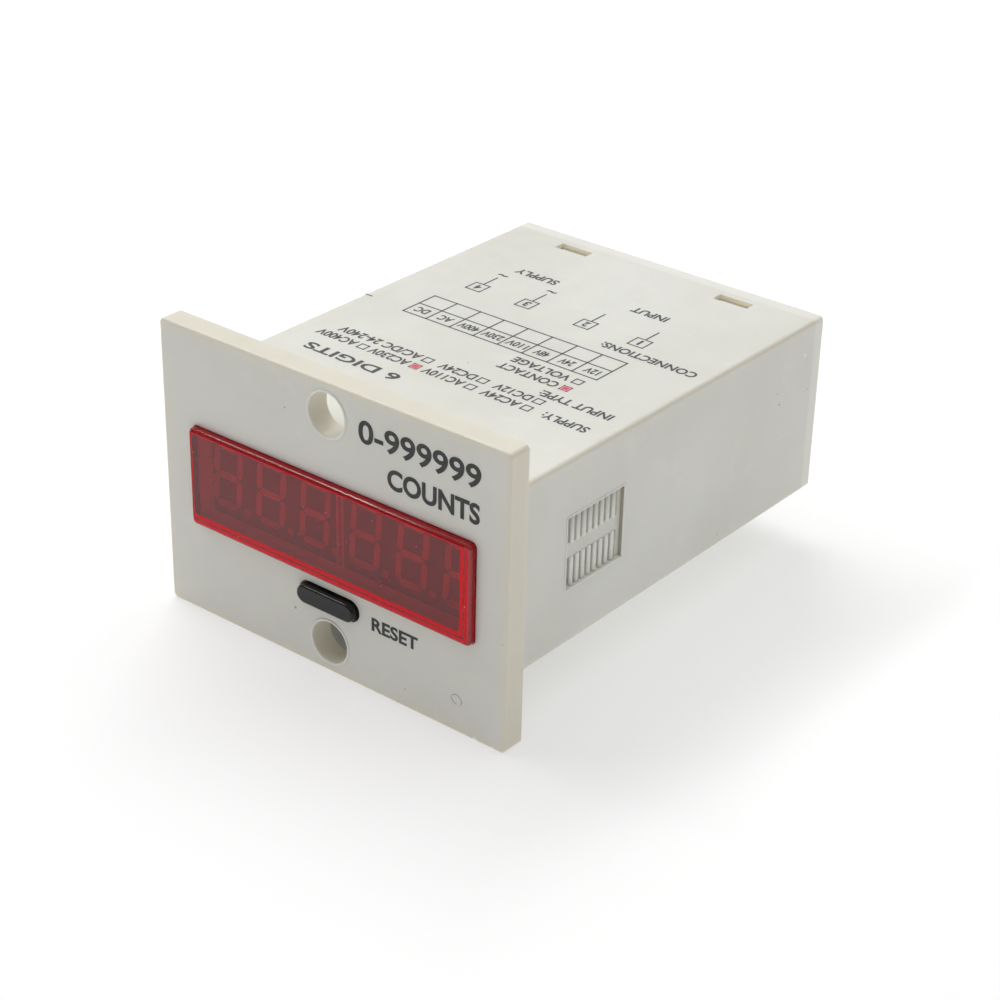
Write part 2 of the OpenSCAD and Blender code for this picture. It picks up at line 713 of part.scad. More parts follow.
module case() {
  color(cream) difference() {
    union() {
      difference() {
        union() {
          to_front(0) soft_block(bezel_w, bezel_h, bezel_t, bezel_corner, bezel_edge);
          to_rear(-lap) soft_block(body_w, body_h, body_d + lap, body_corner, body_edge);
        }
        span([-in_w / 2, in_y, -in_h / 2], [in_w / 2, body_d + over, in_h / 2]);
      }
      // posts that stop the display board
      for (sx = [-1, 1], sz = [-1, 1]) in_corner(sx, sz)
        span([in_w / 2 - post_w, in_y - lap, ledge_h / 2 + abs(lens_z) + post_gap],
             [in_w / 2 + lap, dboard_y, in_h / 2 + lap]);
      // rails that carry the main board, and ribs that stop the rear cover
      for (sx = [-1, 1]) in_corner(sx, 1) {
        span([in_w / 2 - rail_w, mboard_y + rail_in, mboard_z - rail_t], [in_w / 2 + lap, cover_y, mboard_z]);
        span([in_w / 2 - rail_w, mboard_y + rail_in, mboard_top + slot_fit],
             [in_w / 2 + lap, cover_y, mboard_top + slot_fit + rail_t]);
        span([in_w / 2 - rib_w, cover_y - rib_l, in_h / 2 - rib_h],
             [in_w / 2 + lap, cover_y, in_h / 2 + lap]);
      }
    }
    // window
    translate([lens_x, 0, lens_z]) to_front(in_y + lap) linear_extrude(front_wall + lap + over)
      rounded_rect(lens_w + 2 * lens_gap, lens_h + 2 * lens_gap, lens_corner + lens_gap);
    // key slot
    translate([0, 0, key_z]) to_front(in_y + lap) linear_extrude(front_wall + lap + over)
      rounded_rect(key_w + 2 * key_gap, key_h + 2 * key_gap, key_h / 2 + key_gap);
    // screw holes
    for (s = [-1, 1]) translate([0, 0, s * hole_pitch / 2]) screw_hole();
    // vents
    vent_cut();
    mirror([1, 0, 0]) vent_cut();
    // snap windows
    for (sx = [-1, 1])
      span([sx * snap_x - snap_w / 2, snap_y - snap_l / 2, -body_h],
           [sx * snap_x + snap_w / 2, snap_y + snap_l / 2, body_h]);
  }
}

// Lens and key

module display_lens() {
  color([0.75, 0.10, 0.13, 0.55]) translate([lens_x, 0, lens_z]) difference() {
    union() {
      to_front(in_y) soft_block(lens_w, lens_h, in_y - lens_y, lens_corner, lens_edge);
      to_front(led_y) linear_extrude(ledge_t) rounded_rect(ledge_w, ledge_h, ledge_corner);
    }
    to_front(led_y + over) linear_extrude(led_y + over - lens_y - lens_t)
      rounded_rect(lens_w - 2 * lens_wall, lens_h - 2 * lens_wall, lens_hollow);
  }
}

module reset_button() {
  flange_w = key_w / 2 + flange_end;
  flange_h = key_h / 2 + flange_top;
  color([0.14, 0.14, 0.15]) {
    translate([0, 0, key_z]) {
      to_front(in_y + 0.4 * flange_t)
        soft_block(key_w, key_h, in_y + 0.4 * flange_t - key_y, key_h / 2, key_edge);
      // the flange that keeps the key in
      span([-flange_w, in_y, -flange_h], [flange_w, in_y + flange_t, flange_h]);
    }
    // the stem that meets the switch
    span([-stem_w / 2, in_y + 0.5 * flange_t, (key_z + switch_z - stem_h) / 2],
         [stem_w / 2, plunger_y, (key_z + switch_z + stem_h) / 2]);
  }
}

// Rear cover and terminals

module cover_hook() {
  y0 = snap_y - snap_l / 2 + snap_fit;
  y1 = snap_y + snap_l / 2 - snap_fit;
  z0 = cover_h / 2;
  z1 = in_h / 2 + hook_h;
  translate([snap_x - snap_w / 2 + snap_fit, 0, 0]) rotate([90, 0, 90])
    linear_extrude(snap_w - 2 * snap_fit)
      polygon([[y0, z0 - lap], [y0, z0], [y1 - hook_flat, z1], [y1, z1], [y1, z0 - lap]]);
}

module rear_cover() {
  color(cream) difference() {
    union() {
      difference() {
        span([-cover_w / 2, cover_y, -cover_h / 2], [cover_w / 2, cover_end, cover_h / 2]);
        span([-bay_w, plate_y, -bay_h], [bay_w, cover_end + over, bay_h]);
      }
      // barriers between the terminals
      for (i = [0 : term_n - 2])
        span([term_x[i] + (term_pitch - cover_wall) / 2, plate_y - lap, -bay_h - lap],
             [term_x[i] + (term_pitch + cover_wall) / 2, cover_end, bay_h + lap]);
      // snap hooks
      for (sx = [-1, 1], sz = [-1, 1]) in_corner(sx, sz) cover_hook();
    }
    for (x = term_x) {
      // clearance for the thread, and the slot for the terminal's tail
      translate([x, 0, 0]) to_rear(cover_y - over)
        cylinder(r = term_screw_r + screw_fit, h = cover_t + 2 * over);
      span([x - tail_w / 2 - tail_fit, cover_y - over, mboard_top - tail_fit],
           [x + tail_w / 2 + tail_fit, plate_y + over, mboard_top + tail_t + tail_fit]);
    }
  }
}

module terminal_plates() {
  color([0.80, 0.66, 0.36]) for (x = term_x) difference() {
    union() {
      span([x - plate_w / 2, plate_y, mboard_top], [x + plate_w / 2, washer_y, plate_up]);
      span([x - tail_w / 2, tail_y, mboard_top], [x + tail_w / 2, plate_y + lap, mboard_top + tail_t]);
      span([x - prong_w / 2, tail_y, lead_end], [x + prong_w / 2, tail_y + tail_t, mboard_top + tail_t / 2]);
    }
    translate([x, 0, 0]) to_rear(plate_y - over)
      cylinder(r = term_screw_r + thread_fit, h = plate_t + 2 * over);
  }
}

module terminal_washers() {
  color([0.75, 0.75, 0.74]) for (x = term_x) difference() {
    span([x - washer_w / 2, washer_y, -washer_w / 2], [x + washer_w / 2, head_y, washer_w / 2]);
    translate([x, 0, 0]) to_rear(plate_y) cylinder(r = term_screw_r + washer_fit, h = head_end - plate_y);
  }
}

module terminal_screws() {
  color([0.78, 0.78, 0.77]) for (x = term_x) translate([x, 0, 0]) difference() {
    union() {
      to_rear(cover_y - screw_tail)
        cylinder(r = term_screw_r, h = head_y + head_t / 2 - cover_y + screw_tail);
      to_rear(head_y) cylinder(r = head_r, h = head_t);
      to_rear(head_y + head_t) cylinder(r1 = head_r, r2 = head_r - crown, h = crown);
    }
    for (a = [45, 135]) rotate([0, a, 0])
      span([-cross_l / 2, head_end - cross_d, -cross_w / 2], [cross_l / 2, head_end + over, cross_w / 2]);
  }
}

// Displays

// A segment's outline: a bar with pointed ends, upright or level
function seg_shape(x, z, len, t, up) =
  let (h = len / 2, k = t / 2,
       p = [[-h, 0], [-h + k, -k], [h - k, -k], [h, 0], [h - k, k], [-h + k, k]])
  [for (q = p) up ? [x - q[1], z + q[0]] : [x + q[0], z + q[1]]];

function slanted(pts) = [for (p = pts) [p[0] + p[1] * tan(digit_slant), p[1]]];

// The seven segments and the point of one digit, grown by g all round
module digit_face(g) {
  x = (digit_w - seg_t) / 2;
  z = (digit_h - seg_t) / 2;
  t = seg_t + 2 * g;
  gap = seg_gap - g;
  for (k = [-1, 0, 1]) polygon(slanted(seg_shape(0, k * z, 2 * x - 2 * gap, t, false)));
  for (sx = [-1, 1], sz = [-1, 1])
    polygon(slanted(seg_shape(sx * x, sz * z / 2, z - 2 * gap, t, true)));
  translate([digit_w / 2 + point_x, -digit_h / 2 + point_z]) circle(point_r + g);
}

module digits(g, front) {
  for (i = [-1, 0, 1]) translate([i * digit_pitch, 0, 0])
    to_front(led_y + seg_d) linear_extrude(seg_d + front) digit_face(g);
}

module led_module(sx) {
  color([0.22, 0.17, 0.17]) translate([sx * led_x, 0, 0]) difference() {
    span([-led_w / 2, led_y, -led_h / 2], [led_w / 2, dboard_y, led_h / 2]);
    digits(seg_fit, over);
  }
}

module led_segments(sx) {
  color([0.62, 0.16, 0.18]) translate([sx * led_x, 0, 0]) digits(0, 0);
}

module led_pins(sx) {
  color(tinned) for (x = led_pin_x, z = led_pin_z)
    translate([sx * led_x + x, 0, z]) to_rear(dboard_y) cylinder(r = led_pin_r, h = board_t + lead_tail);
}

module led_module_left() { led_module(-1); }
module led_module_right() { led_module(1); }
module led_segments_left() { led_segments(-1); }
module led_segments_right() { led_segments(1); }
module led_pins_left() { led_pins(-1); }
module led_pins_right() { led_pins(1); }

// Boards

module display_board() {
  pin_r = norm([switch_pin_w, switch_pin_t]) / 2 + lead_fit;
  leg_x = shell_t / 2 + slot_fit;
  leg_z = shell_leg / 2 + slot_fit;
  color(green) difference() {
    span([-dboard_w / 2, dboard_y, -dboard_h / 2], [dboard_w / 2, dboard_end, dboard_h / 2]);
    for (sx = [-1, 1], x = led_pin_x, z = led_pin_z)
      translate([sx * led_x + x, 0, z]) to_rear(dboard_y - over)
        cylinder(r = led_pin_r + lead_fit, h = board_t + 2 * over);
    for (s = [-1, 1]) {
      translate([s * switch_pin_x, 0, switch_z]) to_rear(dboard_y - over)
        cylinder(r = pin_r, h = board_t + 2 * over);
      span([s * shell_x - leg_x, dboard_y - over, switch_z - leg_z],
           [s * shell_x + leg_x, dboard_end + over, switch_z + leg_z]);
      span([s * tongue_x - tongue_w / 2 - slot_fit, dboard_y - over, mboard_z - slot_fit],
           [s * tongue_x + tongue_w / 2 + slot_fit, dboard_end + over, mboard_top + slot_fit]);
    }
  }
}

module main_board() {
  relief = shell_x + shell_t / 2 + relief_side;
  color(green) difference() {
    union() {
      span([-mboard_w / 2, mboard_y, mboard_z], [mboard_w / 2, mboard_end, mboard_top]);
      for (s = [-1, 1])
        span([s * tongue_x - tongue_w / 2, dboard_y - tongue_out, mboard_z],
             [s * tongue_x + tongue_w / 2, mboard_y + lap, mboard_top]);
    }
    // relief for the switch's pins
    span([-relief, mboard_y - over, mboard_z - over], [relief, mboard_y + relief_d, mboard_top + over]);
    chip_holes(controller_at, controller_n);
    chip_holes(memory_at, memory_n);
    chip_holes(opto_at, opto_n);
    for (s = [-1, 1]) {
      board_hole(crystal_at + [0, s * crystal_lead_y], crystal_lead_r);
      board_hole(filter_at + [s * filter_lead_x, 0], filter_lead_r);
      board_hole(film_at + [s * film_lead_x, 0], film_lead_r);
      for (p = resistor_at) board_hole(p + [0, s * lead_span / 2], resistor_lead_r);
      for (p = diode_at) board_hole(p + [s * lead_span / 2, 0], diode_lead_r);
    }
    for (p = driver_at, k = [-1, 0, 1])
      board_hole(p + [k * driver_lead_pitch, 0], driver_lead_w / sqrt(2));
    // slots for the terminals' prongs
    for (x = term_x)
      span([x - prong_w / 2 - slot_fit, tail_y - slot_fit, mboard_z - over],
           [x + prong_w / 2 + slot_fit, tail_y + tail_t + slot_fit, mboard_top + over]);
  }
}

module board_solder() {
  color([0.74, 0.75, 0.76]) for (s = [-1, 1], i = [0 : 5])
    translate([s * (solder_x + i * solder_pitch) - solder_w / 2, 0, 0]) rotate([90, 0, 90])
      linear_extrude(solder_w)
        polygon([[dboard_end, mboard_top], [dboard_end + solder_h, mboard_top],
                 [dboard_end, mboard_top + solder_h]]);
}

// Switch

module switch_body() {
  color(epoxy) difference() {
    span([-switch_w / 2, switch_y, switch_z - switch_h / 2],
         [switch_w / 2, dboard_y, switch_z + switch_h / 2]);
    translate([0, 0, switch_z]) to_rear(switch_y - over) cylinder(r = cup_r, h = cup_y - switch_y + over);
  }
}

module switch_cover() {
  half = shell_x + shell_t / 2;
  color(tinned) difference() {
    union() {
      span([-half, switch_y - shell_t, switch_z - switch_h / 2], [half, switch_y, switch_z + switch_h / 2]);
      for (s = [-1, 1])
        span([s * shell_x - shell_t / 2, switch_y - shell_t, switch_z - shell_leg / 2],
             [s * shell_x + shell_t / 2, dboard_end + shell_tail, switch_z + shell_leg / 2]);
    }
    translate([0, 0, switch_z]) to_rear(switch_y - shell_t - over)
      cylinder(r = plunger_r + plunger_gap, h = shell_t + 2 * over);
  }
}

module switch_plunger() {
  foot_end = cup_y - dome_rise;
  color([0.85, 0.85, 0.83]) translate([0, 0, switch_z]) {
    to_rear(plunger_y) cylinder(r = plunger_r, h = switch_y + collar_t / 2 - plunger_y);
    to_rear(switch_y) cylinder(r = collar_r, h = collar_t);
    to_rear(switch_y + collar_t / 2) cylinder(r = foot_r, h = foot_end - switch_y - collar_t / 2);
  }
}

module switch_dome() {
  big = (dome_r * dome_r + dome_rise * dome_rise) / (2 * dome_rise);
  color(tinned) translate([0, cup_y - dome_rise + big, switch_z]) difference() {
    intersection() {
      sphere(big);
      translate([0, dome_rise - big, 0]) rotate([90, 0, 0]) cylinder(r = 2 * dome_r, h = 2 * dome_r);
    }
    sphere(big - dome_t);
  }
}

module switch_pins() {
  color(tinned) for (s = [-1, 1])
    span([s * switch_pin_x - switch_pin_w / 2, dboard_y, switch_z - switch_pin_t / 2],
         [s * switch_pin_x + switch_pin_w / 2, dboard_end + switch_pin_tail, switch_z + switch_pin_t / 2]);
}

// Pieces on the main board

module controller_chip() { color(epoxy) chip_body(controller_at, controller_n); }
module controller_pins() { color(tinned) chip_pins(controller_at, controller_n); }
module memory_chip() { color(epoxy) chip_body(memory_at, memory_n); }
module memory_pins() { color(tinned) chip_pins(memory_at, memory_n); }
module opto_coupler() { color([0.90, 0.90, 0.88]) chip_body(opto_at, opto_n); }
module opto_pins() { color(tinned) chip_pins(opto_at, opto_n); }

module crystal() {
  color([0.78, 0.79, 0.80]) translate([crystal_at[0], crystal_at[1], mboard_top]) {
    linear_extrude(crystal_rim_t)
      rotate(90) rounded_rect(crystal_l + 2 * crystal_rim_l, crystal_full, crystal_full / 2);
    translate([0, 0, crystal_rim_t / 2]) linear_extrude(crystal_h - crystal_rim_t / 2)
      rotate(90) rounded_rect(crystal_l, crystal_w, crystal_w / 2);
  }
}

module crystal_leads() {
  color(tinned) for (s = [-1, 1])
    straight_lead(crystal_at + [0, s * crystal_lead_y], mboard_top, crystal_lead_r);
}

module film_capacitor() {
  color([0.86, 0.72, 0.16]) translate([film_at[0], film_at[1], mboard_top])
    soft_block(film_w, film_d, film_h, film_corner, film_edge);
}

module film_capacitor_leads() {
  color(tinned) for (s = [-1, 1]) straight_lead(film_at + [s * film_lead_x, 0], mboard_top, film_lead_r);
}

module filter_capacitor() {
  color([0.10, 0.12, 0.20]) translate([filter_at[0], filter_at[1], mboard_top]) {
    cylinder(r = filter_r, h = filter_foot);
    cylinder(r = filter_r - filter_groove, h = 3 * filter_foot);
    translate([0, 0, 2 * filter_foot]) cylinder(r = filter_r, h = filter_h - filter_bevel - 2 * filter_foot);
    translate([0, 0, filter_h - filter_bevel])
      cylinder(r1 = filter_r, r2 = filter_r - filter_bevel, h = filter_bevel);
  }
}

module filter_capacitor_leads() {
  color(tinned) for (s = [-1, 1])
    straight_lead(filter_at + [s * filter_lead_x, 0], mboard_top, filter_lead_r);
}

module rectifier_diodes() {
  color(epoxy) for (p = diode_at)
    translate([p[0] - diode_l / 2, p[1], mboard_top + lie_gap + diode_r])
      rotate([0, 90, 0]) cylinder(r = diode_r, h = diode_l);
}

module diode_leads() {
  z = mboard_top + lie_gap + diode_r;
  color(tinned) for (p = diode_at, s = [-1, 1])
    bent_lead([p[0] + s * diode_l / 2, p[1], z], [p[0] + s * lead_span / 2, p[1], z], diode_lead_r);
}

module digit_drivers() {
  color(epoxy) for (p = driver_at) translate([p[0], p[1], mboard_top + driver_stand])
    intersection() {
      cylinder(r = driver_r, h = driver_h);
      translate([-2 * driver_r, -driver_flat, -over]) cube([4 * driver_r, 4 * driver_r, driver_h + 2 * over]);
    }
}

module driver_leads() {
  k = driver_lead_w / 2;
  color(tinned) for (p = driver_at, i = [-1, 0, 1])
    span([p[0] + i * driver_lead_pitch - k, p[1] - k, lead_end],
         [p[0] + i * driver_lead_pitch + k, p[1] + k, mboard_top + driver_stand]);
}

module segment_resistors() {
  color([0.78, 0.70, 0.54]) for (p = resistor_at)
    translate([p[0], p[1] + resistor_l / 2, mboard_top + lie_gap + resistor_end_r]) rotate([90, 0, 0]) {
      cylinder(r = resistor_r, h = resistor_l);
      cylinder(r = resistor_end_r, h = resistor_end_l);
      translate([0, 0, resistor_l - resistor_end_l]) cylinder(r = resistor_end_r, h = resistor_end_l);
    }
}

module resistor_leads() {
  z = mboard_top + lie_gap + resistor_end_r;
  color(tinned) for (p = resistor_at, s = [-1, 1])
    bent_lead([p[0], p[1] + s * resistor_l / 2, z], [p[0], p[1] + s * lead_span / 2, z], resistor_lead_r);
}

case();
display_lens();
reset_button();
rear_cover();
display_board();
main_board();
led_module_left();
led_module_right();
led_segments_left();
led_segments_right();
led_pins_left();
led_pins_right();
switch_body();
switch_cover();
switch_plunger();
switch_dome();
switch_pins();
board_solder();
controller_chip();
controller_pins();
memory_chip();
memory_pins();
opto_coupler();
opto_pins();
crystal();
crystal_leads();
film_capacitor();
film_capacitor_leads();
filter_capacitor();
filter_capacitor_leads();
rectifier_diodes();
diode_leads();
digit_drivers();
driver_leads();
segment_resistors();
resistor_leads();
terminal_plates();
terminal_washers();
terminal_screws();
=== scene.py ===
# %% [markdown]
# # Dressing a panel counter
# A panel counter is a small cream box that stands in a cut-out of a machine's control panel. Behind a
# red window six numerals add up pulses, and a black key sets them back to zero. The solids come from
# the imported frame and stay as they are. This script gives each of them its finish, adds what is
# printed, soldered and turned on the real thing, and sets up the floor, the light and the camera.

# %% Load the frame
import json
import math

import bpy
import numpy as np
from mathutils import Matrix, Vector


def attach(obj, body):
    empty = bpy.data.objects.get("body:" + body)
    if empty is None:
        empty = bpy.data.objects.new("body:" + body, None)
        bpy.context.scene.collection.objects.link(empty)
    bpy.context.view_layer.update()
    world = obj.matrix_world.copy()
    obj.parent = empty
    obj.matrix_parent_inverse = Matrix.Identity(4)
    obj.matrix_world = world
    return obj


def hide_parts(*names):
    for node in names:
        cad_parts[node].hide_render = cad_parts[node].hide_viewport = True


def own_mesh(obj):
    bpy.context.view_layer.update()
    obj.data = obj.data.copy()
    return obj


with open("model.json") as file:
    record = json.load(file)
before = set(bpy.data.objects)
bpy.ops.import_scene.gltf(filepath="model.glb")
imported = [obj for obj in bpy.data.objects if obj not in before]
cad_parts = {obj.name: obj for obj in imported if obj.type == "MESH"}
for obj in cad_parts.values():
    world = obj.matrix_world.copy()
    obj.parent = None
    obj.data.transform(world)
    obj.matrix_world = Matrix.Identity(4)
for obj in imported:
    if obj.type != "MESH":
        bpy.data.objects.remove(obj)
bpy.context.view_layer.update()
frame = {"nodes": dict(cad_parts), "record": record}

MM = 0.001
print("nodes in the frame:", len(frame["nodes"]))

# %% [markdown]
# ## Places taken from the frame
# Print, solder and threads must sit on the surfaces that carry them, so their places are read from the
# solids instead of being typed again. A node's mesh is in metres and in the shared frame, so the
# highest point of the sleeve is simply the largest z of the case's points behind the bezel. Where the
# screw holes are is in the record.


# %% Read the main planes
def mesh_points(mesh):
    """All corner points of a mesh, as rows of x, y, z."""
    flat = np.empty(len(mesh.vertices) * 3, np.float32)
    mesh.vertices.foreach_get("co", flat)
    return flat.reshape(-1, 3).astype(float)


def points(node):
    """All corner points of a CAD node, in metres."""
    return mesh_points(frame["nodes"][node].data)


def halfway(values):
    """The place midway between the least and the greatest value of each column."""
    return (values.min(0) + values.max(0)) / 2


WELL_BEHIND_BEZEL = 30 * MM
case_points = points("case")
sleeve_points = case_points[case_points[:, 1] > WELL_BEHIND_BEZEL]
bezel_front = case_points[:, 1].min()
bezel_foot = case_points[:, 2].min()
sleeve_top = sleeve_points[:, 2].max()
cover_rear = points("rear_cover")[:, 1].max()
screws = next(m["dims"] for m in frame["record"]["mounts"] if m["name"] == "panel_screws")
hole_z = screws["spacing_y_mm"] / 2 * MM
hole_r = screws["hole_r_mm"] * MM
print("bezel front, sleeve top, cover rear in mm:",
      [round(v / MM, 2) for v in (bezel_front, sleeve_top, cover_rear)])
print("screw holes in mm: radius", round(hole_r / MM, 2), "at z", round(hole_z / MM, 2), "either way")

# %% [markdown]
# ## Camera
# The photograph is taken from the right and from above, with a long lens that keeps the box's edges
# nearly parallel. The camera is given by its place, two angles and a small roll, and its axes follow
# from the angles: "back" points from the object to the camera, "right" is level, and "up" is square to
# both.

# %% Camera
CAMERA_AT = Vector((169.3, -182.8, 138.2)) * MM
CAMERA_AZIMUTH = math.radians(38.50)
CAMERA_ELEVATION = math.radians(28.46)
CAMERA_ROLL = math.radians(1.36)
CAMERA_LENS = 83.98
SENSOR_WIDTH = 36
NEAREST_SEEN = 5 * MM

level = math.cos(CAMERA_ELEVATION)
back = Vector((math.sin(CAMERA_AZIMUTH) * level, -math.cos(CAMERA_AZIMUTH) * level,
               math.sin(CAMERA_ELEVATION)))
right = Vector((math.cos(CAMERA_AZIMUTH), math.sin(CAMERA_AZIMUTH), 0))
up = back.cross(right)
rolled_right = math.cos(CAMERA_ROLL) * right + math.sin(CAMERA_ROLL) * up
rolled_up = math.cos(CAMERA_ROLL) * up - math.sin(CAMERA_ROLL) * right
camera = bpy.data.objects.new("camera", bpy.data.cameras.new("camera"))
camera.data.lens = CAMERA_LENS
camera.data.sensor_width = SENSOR_WIDTH
camera.data.clip_start = NEAREST_SEEN
camera_axes = Matrix((rolled_right, rolled_up, back)).transposed()
camera.matrix_world = Matrix.Translation(CAMERA_AT) @ camera_axes.to_4x4()
bpy.context.scene.collection.objects.link(camera)
bpy.context.scene.camera = camera
print("camera stands", round(CAMERA_AT.length, 3), "m from the origin")

# %% [markdown]
# ## From arrays to a mesh
# Each new piece is worked out as a whole array of points and handed to Blender in one go. A grid of
# points that is given row by row becomes a skin of quads: the corner numbers of all quads are one
# array, made by adding shifted copies of the grid's own numbering.


# %% Mesh helpers
def grid_quads(rows, columns, closed_rows=False, closed_columns=False):
    """Corner numbers of the quads of a grid; a closed way joins its last line to its first."""
    number = np.arange(rows * columns).reshape(rows, columns)
    if closed_rows:
        number = np.vstack([number, number[:1]])
    if closed_columns:
        number = np.hstack([number, number[:, :1]])
    quads = (number[:-1, :-1], number[:-1, 1:], number[1:, 1:], number[1:, :-1])
    return np.stack([q.ravel() for q in quads], axis=1)


def full_turn(count):
    """Angles of so many equal steps round a circle."""
    return np.linspace(0, 2 * np.pi, count, endpoint=False)


def new_shape(name, corners, faces, finish, smooth=False):
    """Puts arrays of points and faces into a mesh with a finish, and the mesh into the scene."""
    mesh = bpy.data.meshes.new(name)
    mesh.from_pydata(corners, [], faces.tolist())
    mesh.polygons.foreach_set("use_smooth", np.full(len(mesh.polygons), smooth))
    mesh.update()
    shape = bpy.data.objects.new(name, mesh)
    bpy.context.scene.collection.objects.link(shape)
    mesh.materials.append(finish.material)
    print(name, "has", len(mesh.polygons), "faces")
    return shape


def new_piece(name, corners, faces, body, slot, finish, smooth=False):
    """A shape that rides on a body; its slot is not used."""
    piece = new_shape(name, corners, faces, finish, smooth)
    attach(piece, body)
    return piece


def joined(parts):
    """Joins several (points, faces) pairs into one pair, with the corner numbers moved along."""
    starts = np.cumsum([0] + [len(p) for p, f in parts[:-1]])
    corners = np.vstack([p for p, f in parts])
    faces = np.vstack([f + s for (p, f), s in zip(parts, starts)])
    return corners, faces


# %% [markdown]
# ## Finishes: shared steps
# Every finish is made of nodes that read Object coordinates, which are metres in the shared frame. A
# noise with a scale of 5000 then has grains of about a fifth of a millimetre, so a texture's scale can
# be read off the real thing with a ruler. The helpers below only save typing: each adds a node or a few
# and wires them.


# %% Finish helpers
def srgb(r, g, b):
    """A colour as seen on a screen, 0 to 255, turned into the linear values that a shader takes."""
    c = np.array([r, g, b]) / 255
    linear = np.where(c <= 0.04045, c / 12.92, ((c + 0.055) / 1.055) ** 2.4)
    return (*linear.tolist(), 1.0)


class Finish:
    """A material whose nodes are added one step at a time around one shader."""

    def __init__(self, name):
        self.material = bpy.data.materials.new(name)
        self.material.use_nodes = True
        self.nodes = self.material.node_tree.nodes
        self.shader = self.nodes["Principled BSDF"]
        self.place = self.nodes.new("ShaderNodeTexCoord").outputs["Object"]

    def add(self, kind, inputs=None, **settings):
        """Adds a node; an input is a value or another node's output."""
        node = self.nodes.new(kind)
        for key, value in settings.items():
            setattr(node, key, value)
        for key, value in (inputs or {}).items():
            self.feed(node, key, value)
        return node

    def feed(self, node, key, value):
        """Sets an input to a value, or wires another node's output to it."""
        if isinstance(value, bpy.types.NodeSocket):
            self.material.node_tree.links.new(value, node.inputs[key])
        else:
            node.inputs[key].default_value = value

    def set(self, **values):
        """Sets sockets of the shader: base_color becomes Base Color, and so on."""
        for key, value in values.items():
            name = key.replace("_", " ").title().replace("Ior", "IOR")
            self.feed(self.shader, name, value)
        return self

    def noise(self, scale, detail=2.0, roughness=0.5, stretch=None):
        """A cloud between 0 and 1, with lumps of about one over the scale."""
        place = self.place
        if stretch:
            place = self.add("ShaderNodeMapping", {"Vector": place, "Scale": stretch}).outputs["Vector"]
        inputs = {"Vector": place, "Scale": scale, "Detail": detail, "Roughness": roughness}
        return self.add("ShaderNodeTexNoise", inputs).outputs["Fac"]

    def math(self, operation, a, b=0.0):
        """One step of arithmetic on two values."""
        return self.add("ShaderNodeMath", {0: a, 1: b}, operation=operation).outputs[0]

    def band(self, value, low, high, to_low=0.0, to_high=1.0):
        """Stretches the part of a value between low and high to a new range, smoothly."""
        inputs = {"Value": value, "From Min": low, "From Max": high,
                  "To Min": to_low, "To Max": to_high}
        return self.add("ShaderNodeMapRange", inputs, interpolation_type="SMOOTHSTEP").outputs["Result"]

    def within(self, value, half, soft):
        """1 where a value is below a half size, 0 above it, with an edge that is soft either way."""
        return self.band(value, half + soft, half - soft)

    def times(self, first, *others):
        """The product of several values."""
        for other in others:
            first = self.math("MULTIPLY", first, other)
        return first

    def mix(self, share, a, b):
        """Blends two colours."""
        node = self.add("ShaderNodeMix", {"Factor": share}, data_type="RGBA")
        self.feed(node, 6, a)
        self.feed(node, 7, b)
        return node.outputs[2]

    def stain(self, colour, mask, share, paint):
        """Lays paint over a colour where a mask is 1, at a share of its strength."""
        return self.mix(self.times(mask, share), colour, paint)

    def clouds(self, scale, a, b, detail=3.0):
        """Two colours that take turns in soft clouds."""
        return self.mix(self.band(self.noise(scale, detail), 0.3, 0.7), a, b)

    def shine(self, scale, low, high, detail=2.0):
        """Sets a roughness that wanders between two values in soft clouds."""
        return self.set(roughness=self.band(self.noise(scale, detail), 0.3, 0.7, low, high))

    def grain(self, scale, depth, strength=0.5, detail=2.0):
        """Raises and lowers the surface by a noise of so many metres."""
        return self.bump(self.noise(scale, detail), depth, strength)

    def axis(self, name):
        """One coordinate of the place, in metres."""
        return self.add("ShaderNodeSeparateXYZ", {"Vector": self.place}).outputs[name]

    def faces_along(self, name):
        """How squarely the surface faces along an axis, from 0 to 1, either way."""
        normal = self.add("ShaderNodeNewGeometry").outputs["True Normal"]
        part = self.add("ShaderNodeSeparateXYZ", {"Vector": normal}).outputs[name]
        return self.math("ABSOLUTE", part)

    def specks(self, per_metre, size, share):
        """Round specks: small cells' middles, kept only where a slow cloud is high."""
        inputs = {"Vector": self.place, "Scale": per_metre}
        near = self.add("ShaderNodeTexVoronoi", inputs).outputs["Distance"]
        dot = self.band(near, size, size * 0.5)
        return self.times(dot, self.band(self.noise(per_metre * 0.13), share, share + 0.02))

    def away(self, x, y, z):
        """Distance in metres from a place given in millimetres."""
        inputs = {0: self.place, 1: (x * MM, y * MM, z * MM)}
        return self.add("ShaderNodeVectorMath", inputs, operation="DISTANCE").outputs["Value"]

    def dot(self, x, y, z, radius):
        """1 within a radius of a place given in millimetres, fading to 0 at its edge."""
        return self.band(self.away(x, y, z), radius * MM, radius * 0.5 * MM)

    def off(self, name, middle):
        """How far a coordinate lies from a middle, either way, in metres."""
        return self.math("ABSOLUTE", self.math("SUBTRACT", self.axis(name), float(middle)))

    def beyond(self, name, edge, soft):
        """1 where a coordinate is further out than an edge, either way, fading over a soft width."""
        return self.band(self.math("ABSOLUTE", self.axis(name)), edge - soft, edge)

    def bump(self, height, depth, strength=1.0, under=None):
        """Raises and lowers the surface by a height of so many metres."""
        inputs = {"Height": height, "Distance": depth, "Strength": strength}
        if under is not None:
            inputs["Normal"] = under
        normal = self.add("ShaderNodeBump", inputs).outputs["Normal"]
        self.feed(self.shader, "Normal", normal)
        return normal


